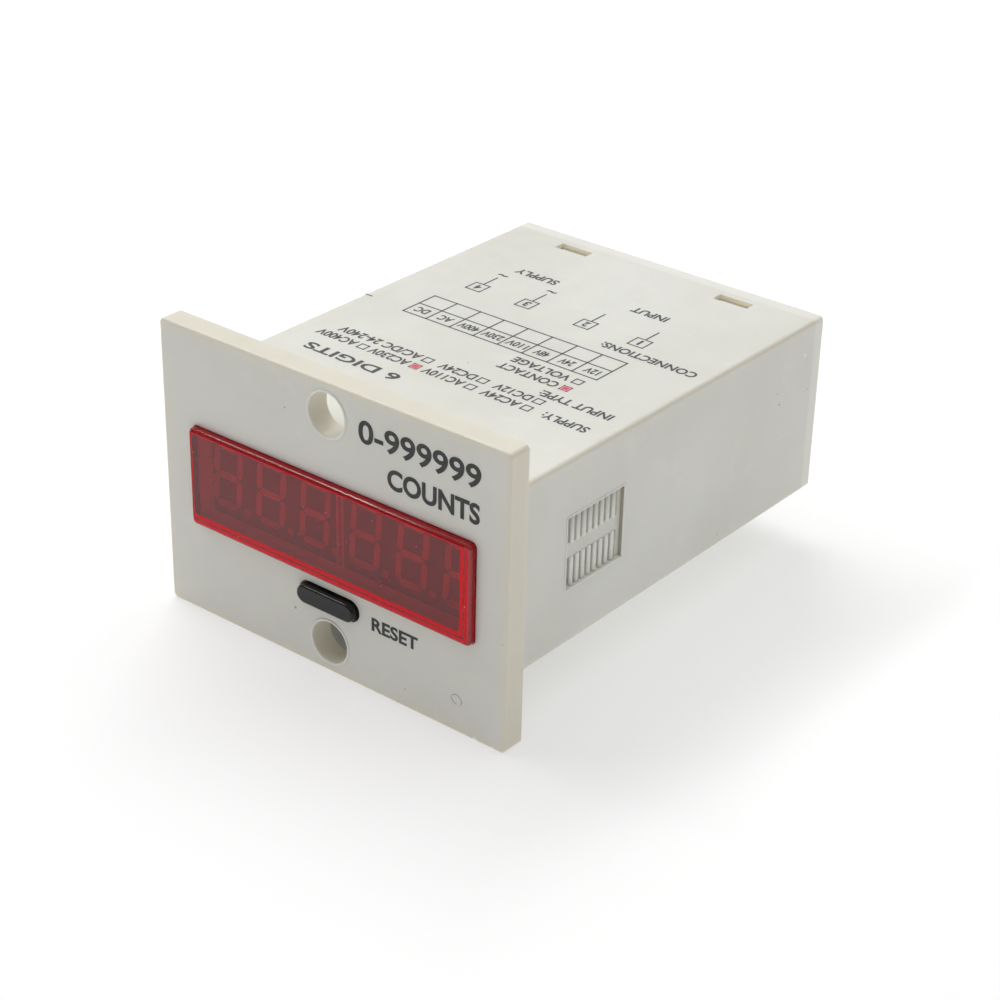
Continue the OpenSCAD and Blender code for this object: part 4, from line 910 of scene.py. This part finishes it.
def bars(spans, ways, origin):
    """Flat bars, one for each row of u0, v0, u1, v1 in metres: a box scaled to every row at once."""
    spans = np.atleast_2d(np.array(spans, float))
    size = np.column_stack([spans[:, 2:] - spans[:, :2], np.full(len(spans), INK_FILM)])
    low = np.column_stack([spans[:, :2], np.zeros(len(spans))])
    flat = (low[:, None] + BOX_CORNERS[None] * size[:, None]).reshape(-1, 3)
    faces = (BOX_FACES[None] + 8 * np.arange(len(spans))[:, None, None]).reshape(-1, 3)
    return lay(flat, origin, ways), faces


def outline(u0, v0, u1, v1, line):
    """The four bars of a rectangle's outline."""
    return [(u0, v0, u1, v0 + line), (u0, v1 - line, u1, v1),
            (u0, v0, u0 + line, v1), (u1 - line, v0, u1, v1)]


# %% [markdown]
# ## Print on the bezel
# To the right of the upper screw hole stand two lines of bold type, and the key has its word beside it.
# The wording is general: the range that six numerals can show, its unit, and what the key does.

# %% Bezel print
FRONT_WAYS = face_frame((1, 0, 0), (0, 0, 1))
FRONT_LINES = (("0-999999", 5.1, 13.9, 18.6, 3.1, 0.020), ("COUNTS", 9.6, 9.35, 14.0, 2.75, 0.032),
               ("RESET", 7.0, -11.2, 7.4, 1.9, 0.028))
front_parts = [words(text, (x * MM, bezel_front, z * MM), w * MM, h * MM, FRONT_WAYS, bold)
               for text, x, z, w, h, bold in FRONT_LINES]
new_piece("bezel_print", *joined(front_parts), "housing", "cream_abs", black_ink)

# %% [markdown]
# ## Print on the top of the sleeve
# The top carries what a fitter needs, to be read from the rear: the supplies that can be ticked, the
# kind of input, a table of voltages, and the four terminals with what goes to them. So its words run
# towards -x and its letters point to -y. Its places are given as x and y of each word's left foot.

# %% Places on the top
TOP_WAYS = face_frame((-1, 0, 0), (0, -1, 0))
TICK = 1.4


def top_words(text, x_left, x_right, y_foot, height):
    """Words between two values of x, with their feet at y, all in millimetres."""
    start = (x_left * MM, y_foot * MM, sleeve_top)
    return words(text, start, (x_left - x_right) * MM, height * MM, TOP_WAYS, 0.020)


def top_span(x_left, y_foot, x_right, y_head):
    """The u and v span of a rectangle given in millimetres on the top."""
    return (-x_left * MM, -y_foot * MM, -x_right * MM, -y_head * MM)


TOP_WORDS = (
    ("6 DIGITS", -4.3, -19.9, 15.4, 1.9),
    ("SUPPLY:", 22.2, 15.4, 19.4, 1.6), ("AC24V", 11.7, 5.9, 19.4, 1.6),
    ("AC110V", 2.8, -3.6, 19.4, 1.6), ("AC230V", -6.2, -12.6, 19.4, 1.6),
    ("AC400V", -15.1, -21.6, 19.4, 1.6),
    ("DC12V", 11.7, 6.0, 21.8, 1.6), ("DC24V", 2.8, -2.9, 21.8, 1.6),
    ("AC/DC 24-240V", -6.2, -19.9, 21.8, 1.6),
    ("INPUT TYPE:", 22.4, 11.4, 24.0, 1.6), ("CONTACT", 11.8, 2.5, 26.9, 1.6),
    ("VOLTAGE", 11.8, 2.8, 29.4, 1.6),
    ("CONNECTIONS:", 23.2, 8.4, 40.6, 1.6),
    ("INPUT", 10.5, 4.9, 52.2, 1.6), ("SUPPLY", -7.9, -14.9, 52.2, 1.6),
)
TICK_PLACES = ((13.6, 19.3), (4.7, 19.3), (-13.2, 19.3), (13.6, 21.7), (4.7, 21.7), (-4.3, 21.7),
               (13.8, 29.3))
FILLED_PLACES = ((-4.3, 19.3), (13.8, 26.8))
TABLE = dict(x_left=14.6, x_right=-17.7, y_head=30.5, y_words=33.0, y_middle=33.9, y_foot=37.2)
TABLE_LINE = 0.2
TABLE_TALL = 1.5
TABLE_WORDS = ("12V", "24V", "48V", "110V", "230V", "400V", "AC", "DC")
TERMINAL_X = (12.0, 3.2, -6.7, -15.2)
TERMINAL = dict(half=1.27, y_head=41.95, y_number=43.95, y_foot=44.5, y_lead=47.5, y_wave=48.9)
NUMBER_HEIGHT = 1.45
WAVE_HALF, WAVE_HEIGHT = 0.75, 0.55
EDGE_TICK = -23.8, 31.5, -25.0, 31.3
BOX_LINE = 0.18
HALF_LINE = 0.1
INSET = 0.32


def tick_box(x, y, line):
    """The outline of a tick box whose near right corner is at x and y."""
    return outline(*top_span(x, y, x - TICK, y - TICK), line * MM)


# %% Top print: words, tick boxes and table
top_parts = [top_words(*item) for item in TOP_WORDS]
lines = [span for x, y in TICK_PLACES for span in tick_box(x, y, BOX_LINE)]

column_w = (TABLE["x_left"] - TABLE["x_right"]) / len(TABLE_WORDS)
table_span = top_span(TABLE["x_left"], TABLE["y_foot"], TABLE["x_right"], TABLE["y_head"])
lines += outline(*table_span, TABLE_LINE * MM)
lines += [top_span(TABLE["x_left"], TABLE["y_middle"] + HALF_LINE,
                   TABLE["x_right"], TABLE["y_middle"] - HALF_LINE)]
for i, label in enumerate(TABLE_WORDS):
    x_left = TABLE["x_left"] - i * column_w
    x_right = x_left - column_w
    if i:
        lines += [top_span(x_left + HALF_LINE, TABLE["y_foot"], x_left - HALF_LINE, TABLE["y_head"])]
    inset = 0.45 if len(label) > 3 else 0.95
    top_parts.append(top_words(label, x_left - inset, x_right + inset, TABLE["y_words"], TABLE_TALL))
print("words and cells on the top:", len(TOP_WORDS), "and", len(TABLE_WORDS))

# %% Top print: terminals
for number, x in enumerate(TERMINAL_X, 1):
    box = top_span(x + TERMINAL["half"], TERMINAL["y_foot"], x - TERMINAL["half"], TERMINAL["y_head"])
    lines += outline(*box, BOX_LINE * MM)
    lines += [top_span(x + HALF_LINE, TERMINAL["y_lead"], x - HALF_LINE, TERMINAL["y_foot"])]
    half = 0.18 if number == 1 else 0.42
    top_parts.append(top_words(str(number), x + half, x - half, TERMINAL["y_number"], NUMBER_HEIGHT))
for x in TERMINAL_X[2:]:
    top_parts.append(top_words("~", x + WAVE_HALF, x - WAVE_HALF, TERMINAL["y_wave"], WAVE_HEIGHT))
lines += [top_span(*EDGE_TICK)]
top_parts.append(bars(lines, TOP_WAYS, (0, 0, sleeve_top)))
new_piece("top_print", *joined(top_parts), "housing", "cream_abs", grey_ink)

# %% Top print: ticked boxes
filled = [top_span(x - INSET, y - INSET, x - TICK + INSET, y - TICK + INSET) for x, y in FILLED_PLACES]
filled += [span for x, y in FILLED_PLACES for span in tick_box(x, y, 0.2)]
new_piece("top_ticks", *bars(filled, TOP_WAYS, (0, 0, sleeve_top)), "housing", "cream_abs", red_ink)

# %% [markdown]
# ## Numbers at the terminals
# Round the back each screw has its number on the rim above it, in the same order as on the top. The
# middles of the screws are read from their own solids: sorted along x, they fall into four groups with
# gaps between.


# %% Terminal numbers
def group_middles(values, gap):
    """Middles of the groups that sorted values fall into, split where neighbours lie a gap apart."""
    ordered = np.sort(values)
    groups = np.split(ordered, np.flatnonzero(np.diff(ordered) > gap) + 1)
    return [float(halfway(g)) for g in groups]


REAR_WAYS = face_frame((-1, 0, 0), (0, 0, 1))
screw_points = points("terminal_screws")
screw_x = group_middles(screw_points[:, 0], 3 * MM)
rim_top = points("rear_cover")
rim_top = rim_top[rim_top[:, 1] > cover_rear - 0.05 * MM][:, 2].max()
NUMBER_WIDTHS = (0.28, 0.68, 0.68, 0.72)
NUMBER_TALL = 1.0 * MM
number_foot = rim_top - 1.2 * MM
rear_parts = []
for number, x, w in zip((1, 2, 3, 4), reversed(screw_x), NUMBER_WIDTHS):
    start = (x + w / 2 * MM, cover_rear, number_foot)
    rear_parts.append(words(str(number), start, w * MM, NUMBER_TALL, REAR_WAYS, 0.01))
new_piece("terminal_numbers", *joined(rear_parts), "housing", "cream_abs", black_ink)

# %% [markdown]
# ## Print on the main board
# A board is printed in white before it is filled, so that each piece has its outline to be set into.
# The outlines follow from the boxes of the pieces themselves, drawn a little larger all round.

# %% Board print
BOARD_WAYS = face_frame((1, 0, 0), (0, 1, 0))
board_top = points("main_board")[:, 2].max()
OUTLINED = ("controller_chip", "memory_chip", "film_capacitor", "opto_coupler", "crystal")
ALL_ROUND = 0.45 * MM
BOARD_LINE = 0.2 * MM
board_lines = []
for name in OUTLINED:
    piece = points(name)
    low = piece.min(0) - ALL_ROUND
    high = piece.max(0) + ALL_ROUND
    board_lines += outline(low[0], low[1], high[0], high[1], BOARD_LINE)
board_bars = bars(board_lines, BOARD_WAYS, (0, 0, board_top))
new_piece("board_print", *board_bars, "housing", "board", white_ink)

# %% [markdown]
# ## Solder joints
# Where a lead comes through a board, molten solder climbs it and freezes as a hollow cone. The cone is
# a turned shape: its outline falls from the pad's edge to the lead as a power curve, and comes back
# inside the lead, so that the outline is a closed loop and the turned skin has no open end. Where the
# leads are is read from their solids: points beyond the board are gathered into clusters that lie
# closer than a pad.


# %% Clusters and turned shapes
def clusters(flat, reach):
    """Middles of point clusters: each point takes the lowest number within reach, again and again."""
    near = np.linalg.norm(flat[:, None] - flat[None], axis=2) < reach
    label = np.arange(len(flat))
    for _ in range(12):
        label = np.where(near, label[None], len(flat)).min(1)
    return np.array([halfway(flat[label == mark]) for mark in np.unique(label)])


def turned(loop, middles, ways, around=20):
    """Turns a closed outline of radius and height about an axis at every middle:
    the point is middle + r cos(a) along + r sin(a) upright + h outward."""
    along, upright, outward = ways
    a = full_turn(around)
    spokes = np.cos(a)[:, None] * along + np.sin(a)[:, None] * upright
    ring_points = spokes[:, None] * loop[None, :, :1] + loop[None, :, 1:] * outward
    skin = ring_points.reshape(-1, 3)
    faces = grid_quads(around, len(loop), True, True)[:, ::-1]
    corners = (np.array(middles)[:, None] + skin[None]).reshape(-1, 3)
    shifts = len(skin) * np.arange(len(middles))
    return corners, (faces[None] + shifts[:, None, None]).reshape(-1, 4)


# %% Solder joints
NECK, SPREAD, HOLLOW = 0.34, 0.52, 2.4
CONE_TALL = 0.75
INSIDE_LEAD = 0.18
PAD_REACH = 0.7 * MM
climb = np.linspace(0, 1, 9)
cone = np.column_stack([NECK + SPREAD * (1 - climb) ** HOLLOW, CONE_TALL * climb])
SOLDER_LOOP = np.vstack([cone, [[INSIDE_LEAD, CONE_TALL], [INSIDE_LEAD, 0.0]]]) * MM

UNDER_WAYS = face_frame((1, 0, 0), (0, -1, 0))


def solder(name, leads, face, axis, side, past, ways):
    """A cone at every lead that comes out of a board's face, on one side of it along an axis."""
    tips = np.vstack([points(lead) for lead in leads])
    tips = tips[side * (tips[:, axis] - face) > past]
    middles = clusters(np.delete(tips, axis, axis=1), PAD_REACH)
    middles = np.insert(middles, axis, face, axis=1)
    new_piece(name, *turned(SOLDER_LOOP, middles, ways), "housing", "tinned", tin, True)


board_under = points("main_board")[:, 2].min()
board_back = points("display_board")[:, 1].max()
solder("main_solder", MAIN_LEADS, board_under, 2, -1, 0.5 * MM, UNDER_WAYS)
solder("display_solder", DISPLAY_LEADS, board_back, 1, 1, 0.3 * MM, REAR_WAYS)

# %% [markdown]
# ## Screw threads
# The terminal screws come through the cover as a short tail, and a thread runs round it. It is a small
# profile carried along a helix, the way a lathe cuts it: the angle grows while the point moves along
# the screw. At both ends the ridge fades into the shank.

# %% Screw threads
RUN_OUT = 0.2 * MM
tail_end = screw_points[:, 1].min()
tail_start = points("rear_cover")[:, 1].min()
shank = screw_points[screw_points[:, 1] < tail_start - RUN_OUT]
screw_z = float(halfway(shank[:, 2]))
shank_r = float(np.ptp(shank[:, 2]) / 2)
THREAD_PITCH = 0.5 * MM
THREAD_RISE = 0.13 * MM
THREAD_ROOT = -0.03 * MM
THREAD_STEPS = 28
RIDGE = np.array([-0.17, -0.03, 0.03, 0.17]) * MM


def thread(x, y_from, y_to):
    """A ridge on a helix: y grows by one pitch a turn, and r goes from root to crest and back."""
    turns = (y_to - y_from) / THREAD_PITCH
    t = np.linspace(0, 1, int(turns * THREAD_STEPS))
    fade = np.clip(np.minimum(t, 1 - t) * turns * 2, 0.02, 1)
    a = 2 * np.pi * turns * t
    y = y_from + (y_to - y_from) * t
    root = np.full(len(t), THREAD_ROOT)
    crest = THREAD_RISE * fade
    r = shank_r + np.column_stack([root, crest, crest, root])
    corners = np.stack([x + r * np.cos(a)[:, None], y[:, None] + RIDGE[None] + 0 * r,
                        screw_z + r * np.sin(a)[:, None]], axis=2)
    last = 4 * (len(t) - 1)
    ends = np.array([[3, 2, 1, 0], [last, last + 1, last + 2, last + 3]])
    return corners.reshape(-1, 3), np.vstack([grid_quads(len(t), 4, closed_columns=True), ends])


threads = [thread(x, tail_end + RUN_OUT, tail_start - RUN_OUT) for x in screw_x]
new_piece("screw_threads", *joined(threads), "housing", "plated_steel", plated_screw)
print("tail from, to, shank radius in mm:", [round(v / MM, 2) for v in (tail_end, tail_start, shank_r)])

# %% [markdown]
# ## Snap dome
# Behind the key, a thin steel dome in the switch snaps flat when it is pressed and throws the key
# back. A rigid dome would be cut by its plunger, so it is drawn again as a turned shell with a pin hole
# in its middle.

# %% Snap dome
dome = points("switch_dome")
dome_middle = halfway(dome)
dome_foot = np.array([dome_middle[0], dome[:, 1].max(), dome_middle[2]])
dome_rise = float(np.ptp(dome[:, 1]))
dome_r = float(np.ptp(dome[:, 0]) / 2)
DOME_WALL = 0.12 * MM
PIN_HOLE = 0.15 * MM
ball = (dome_r ** 2 + dome_rise ** 2) / (2 * dome_rise)
sunk = ball - dome_rise


def dome_arc(radius):
    """Radius and height along a sphere, from its rim on the foot's plane up to the pin hole."""
    a = np.linspace(math.acos(sunk / radius), math.asin(PIN_HOLE / radius), 10)
    return np.column_stack([radius * np.sin(a), radius * np.cos(a) - sunk])


dome_loop = np.vstack([dome_arc(ball), dome_arc(ball - DOME_WALL)[::-1]])
dome_skin = turned(dome_loop, dome_foot[None], FRONT_WAYS, 36)
snap_dome = new_piece("snap_dome", *dome_skin, "housing", "tinned", tin, True)
snap_dome.data.set_sharp_from_angle(angle=math.radians(40))
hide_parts("switch_dome")
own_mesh(snap_dome)

# %% [markdown]
# ## Marks of the mould
# Pins push a moulding out of its mould and leave shallow rings on the face that nobody looks at. Here
# they are on the sleeve's underside: a ring with a low round section, turned at four places.

# %% Ejector rings
sleeve_under = sleeve_points[:, 2].min()
PIN_RADIUS, RING_WIDE, RING_RISE = 2.0 * MM, 0.07 * MM, 0.035 * MM
PIN_X, PIN_Y = (-18.5 * MM, 18.5 * MM), (16 * MM, 50 * MM)
section = full_turn(12)
ring_loop = np.column_stack([PIN_RADIUS + RING_WIDE * np.cos(section), RING_RISE * np.sin(section)])
ring_places = np.array([(x, y, sleeve_under) for x in PIN_X for y in PIN_Y])
ring_skin = turned(ring_loop, ring_places, UNDER_WAYS, 48)
new_piece("ejector_rings", *ring_skin, "housing", "cream_abs", case_cream, True)

# %% [markdown]
# ## Ribs of the vents
# Between the slots of a vent stand rounded ribs, and a fine bead runs round its pocket. Both are made
# of a paler copy of the cream, a painted highlight for the pale lines they show in the light. A rib is
# an oval carried along z that shrinks to nothing over its inner end like a quarter circle. It is worked
# out once and set down at every gap between two slots, which are read from the case. Copies on the
# other side or in the other row are mirrored, so the order of their corners is turned round.

# %% Read the vent
pocket_floor = sleeve_half[0] - POCKET_DEEP
at_floor = np.abs(case_points[:, 0] - pocket_floor) < 0.03 * MM
on_floor = case_points[at_floor & (np.abs(case_points[:, 2]) < POCKET_HALF_TALL + MM)]
slot_edges = np.unique(np.round(on_floor[:, 1], 6))
pocket_tall = np.abs(on_floor[:, 2]).max()
band_half = np.abs(on_floor[:, 2]).min()
rib_low, rib_high = slot_edges[2:-2:2], slot_edges[3:-1:2]
print("ribs in a row:", len(rib_low), "from", np.round(slot_edges[[0, -1]] / MM, 2), "mm")

# %% Vent ribs
RIB_RISE = 0.24 * MM
RIB_SWELL = 1.15
RIB_PAST_SLOT = 0.15 * MM
DOME = 0.32 * MM
round_rib = full_turn(16)
fall = np.linspace(0, 0.97 * np.pi / 2, 7)
rib_z = np.concatenate([[pocket_tall], band_half - RIB_PAST_SLOT + DOME * (1 - np.sin(fall))])
rib_size = np.concatenate([[1.0], np.cos(fall)])
rib_oval = np.column_stack([RIB_RISE * np.cos(round_rib), 0.5 * np.sin(round_rib), 0 * round_rib])
rib_rings = [k * rib_oval + np.array([0, 0, z]) for z, k in zip(rib_z, rib_size)]
one_rib, rib_faces = lofted(rib_rings, (0, 0, rib_z[0]), (0, 0, rib_z[-1]))
rib_parts = []
for side, row_sign in ((1, 1), (1, -1), (-1, 1), (-1, -1)):
    middle = (rib_low + rib_high) / 2
    width = RIB_SWELL * (rib_high - rib_low)
    y = middle[:, None] + one_rib[None, :, 1] * width[:, None]
    x = side * (pocket_floor + one_rib[None, :, 0] + 0 * y)
    z = row_sign * (one_rib[None, :, 2] + 0 * y)
    faces = rib_faces if side * row_sign > 0 else rib_faces[:, ::-1]
    faces = faces[None] + len(one_rib) * np.arange(len(middle))[:, None, None]
    rib_parts.append((np.stack([x, y, z], axis=2).reshape(-1, 3), faces.reshape(-1, 3)))
# Painted highlight: a paler copy of the cream for the ribs, beads and lips.
highlight_cream = cream_plastic("highlight_cream", srgb(247, 245, 233), srgb(241, 239, 226))
new_piece("vent_ribs", *joined(rib_parts), "housing", "cream_abs", highlight_cream, True)

# %% Vent beads
BEAD_OFF = 0.12 * MM
BEAD_HALF = 0.16 * MM
BEAD_RISE = 0.09 * MM
bead = full_turn(10)
bead_out = BEAD_OFF + BEAD_HALF * np.cos(bead)
bead_rise = BEAD_RISE * np.sin(bead)
pocket_middle = (slot_edges[0] + slot_edges[-1]) / 2
pocket_long = (slot_edges[-1] - slot_edges[0]) / 2
turns_y = np.array([1, 1, -1, -1])
turns_z = np.array([1, -1, -1, 1])
bead_parts = []
for side in (1, -1):
    y = pocket_middle + turns_y[:, None] * (pocket_long + bead_out[None])
    z = turns_z[:, None] * (pocket_tall + bead_out[None])
    x = side * (sleeve_half[0] + bead_rise[None] + 0 * y)
    faces = grid_quads(len(turns_y), len(bead), True, True)
    faces = faces if side > 0 else faces[:, ::-1]
    bead_parts.append((np.stack([x, y, z], axis=2).reshape(-1, 3), faces))
new_piece("vent_beads", *joined(bead_parts), "housing", "cream_abs", highlight_cream)

# %% [markdown]
# ## Lips of the screw holes
# The moulding rises a hair's breadth round the front edge of both screw holes, and the light draws that
# lip as a pale ring, painted as a highlight by the paler copy of the cream. It is a low oval turned
# about each hole.

# %% Hole lips
hole_places = np.array([(0, bezel_front, hole_z), (0, bezel_front, -hole_z)])
LIP_HALF = 0.18 * MM
LIP_RISE = 0.12 * MM
lip_loop = np.column_stack([hole_r + LIP_HALF * (0.95 + np.cos(bead)), LIP_RISE * np.sin(bead)])
lip_skin = turned(lip_loop, hole_places, FRONT_WAYS, 64)
new_piece("hole_lips", *lip_skin, "housing", "cream_abs", highlight_cream, True)
print("lips at", np.round(hole_places / MM, 2).tolist())

# %% [markdown]
# ## Vent cross of the filter capacitor
# The lid of the can is scored so that it opens gently if the can ever fails. Two bars show the score.

# %% Vent cross
score = metal("scored_lid", srgb(120, 120, 118), srgb(96, 96, 94), (0.4, 0.55), 900)
can_top = float(can[:, 2].max())
CROSS_HALF = 2.2 * MM
SCORE_HALF = 0.14 * MM
cross = [(-u, -v, u, v) for u, v in ((CROSS_HALF, SCORE_HALF), (SCORE_HALF, CROSS_HALF))]
new_piece("vent_cross", *bars(cross, BOARD_WAYS, (can_middle[0], can_middle[1], can_top)),
          "housing", "capacitor_sleeve", score)

# %% [markdown]
# ## Floor
# The counter stands on its bezel's foot over a light table, as small goods are photographed: a pale
# sheet that glows a little itself, so that shadows stay soft. Close behind the bezel, under the sleeve,
# the glow stops, and the lower screw hole looks into shade. The sheet is a grid with a very faint cloud
# in it.

# %% Floor
FLOOR_HALF = 2.5
FLOOR_LINES = 21
FLOOR_GLOW = 0.38
SHADE_AT = -6.0, 11.0, bezel_foot / MM
SHADE_RADIUS = 20.0
steps = np.linspace(-FLOOR_HALF, FLOOR_HALF, FLOOR_LINES)
floor_x, floor_y = np.meshgrid(steps, steps)
floor_z = np.full(floor_x.size, bezel_foot - 0.02 * MM)
floor_corners = np.column_stack([floor_x.ravel(), floor_y.ravel(), floor_z])
floor_paper = Finish("floor_paper")
cloud = floor_paper.noise(3, 2.0)
floor_paper.set(base_color=floor_paper.mix(cloud, srgb(214, 214, 214), srgb(211, 211, 211)))
behind_bezel = floor_paper.band(floor_paper.axis("Y"), bezel_front, 0.0)
shaded = floor_paper.times(floor_paper.dot(*SHADE_AT, SHADE_RADIUS), behind_bezel)
glow = floor_paper.times(floor_paper.math("SUBTRACT", 1.0, shaded), FLOOR_GLOW)
floor_paper.set(emission_color=(1.0, 1.0, 1.0, 1.0), emission_strength=glow)
floor_paper.shine(20, 0.75, 0.85).set(specular_ior_level=0.2)
floor = new_shape("floor", floor_corners, grid_quads(FLOOR_LINES, FLOOR_LINES), floor_paper)
print("floor at", round(bezel_foot / MM, 2), "mm")

# %% [markdown]
# ## Light
# The photograph is lit by a broad soft light from above, a strip from the upper left, a narrow one in
# front of it, which draws the bright lines along the edges, and white surroundings. The top is the
# brightest face, the right side comes next and the front is the greyest. Area lights aim down their own
# -Z, so each is turned to look at a point.


# %% Light
def soft_box(name, place, width, height, watts, aim=(0.0, 0.025, 0.0)):
    """A rectangular area light that looks at a point."""
    lamp = bpy.data.lights.new(name, "AREA")
    lamp.shape = "RECTANGLE"
    lamp.size = width
    lamp.size_y = height
    lamp.energy = watts
    box = bpy.data.objects.new(name, lamp)
    box.location = place
    box.rotation_euler = (Vector(aim) - Vector(place)).to_track_quat("-Z", "Y").to_euler()
    bpy.context.scene.collection.objects.link(box)
    return box


soft_box("top_light", (0.05, 0.18, 0.75), 1.5, 1.5, 5.5)
soft_box("strip_light", (-0.47, 0.24, 0.68), 0.8, 0.18, 3.4)
soft_box("edge_light", (-0.48, -0.26, 0.66), 0.42, 0.06, 0.62, (0.0, -0.26, 0.0))
world = bpy.data.worlds.new("white_room")
world.use_nodes = True
world.node_tree.nodes["Background"].inputs["Color"].default_value = (1.0, 1.0, 1.0, 1.0)
world.node_tree.nodes["Background"].inputs["Strength"].default_value = 0.20
bpy.context.scene.world = world
bpy.context.scene.view_settings.view_transform = "Standard"
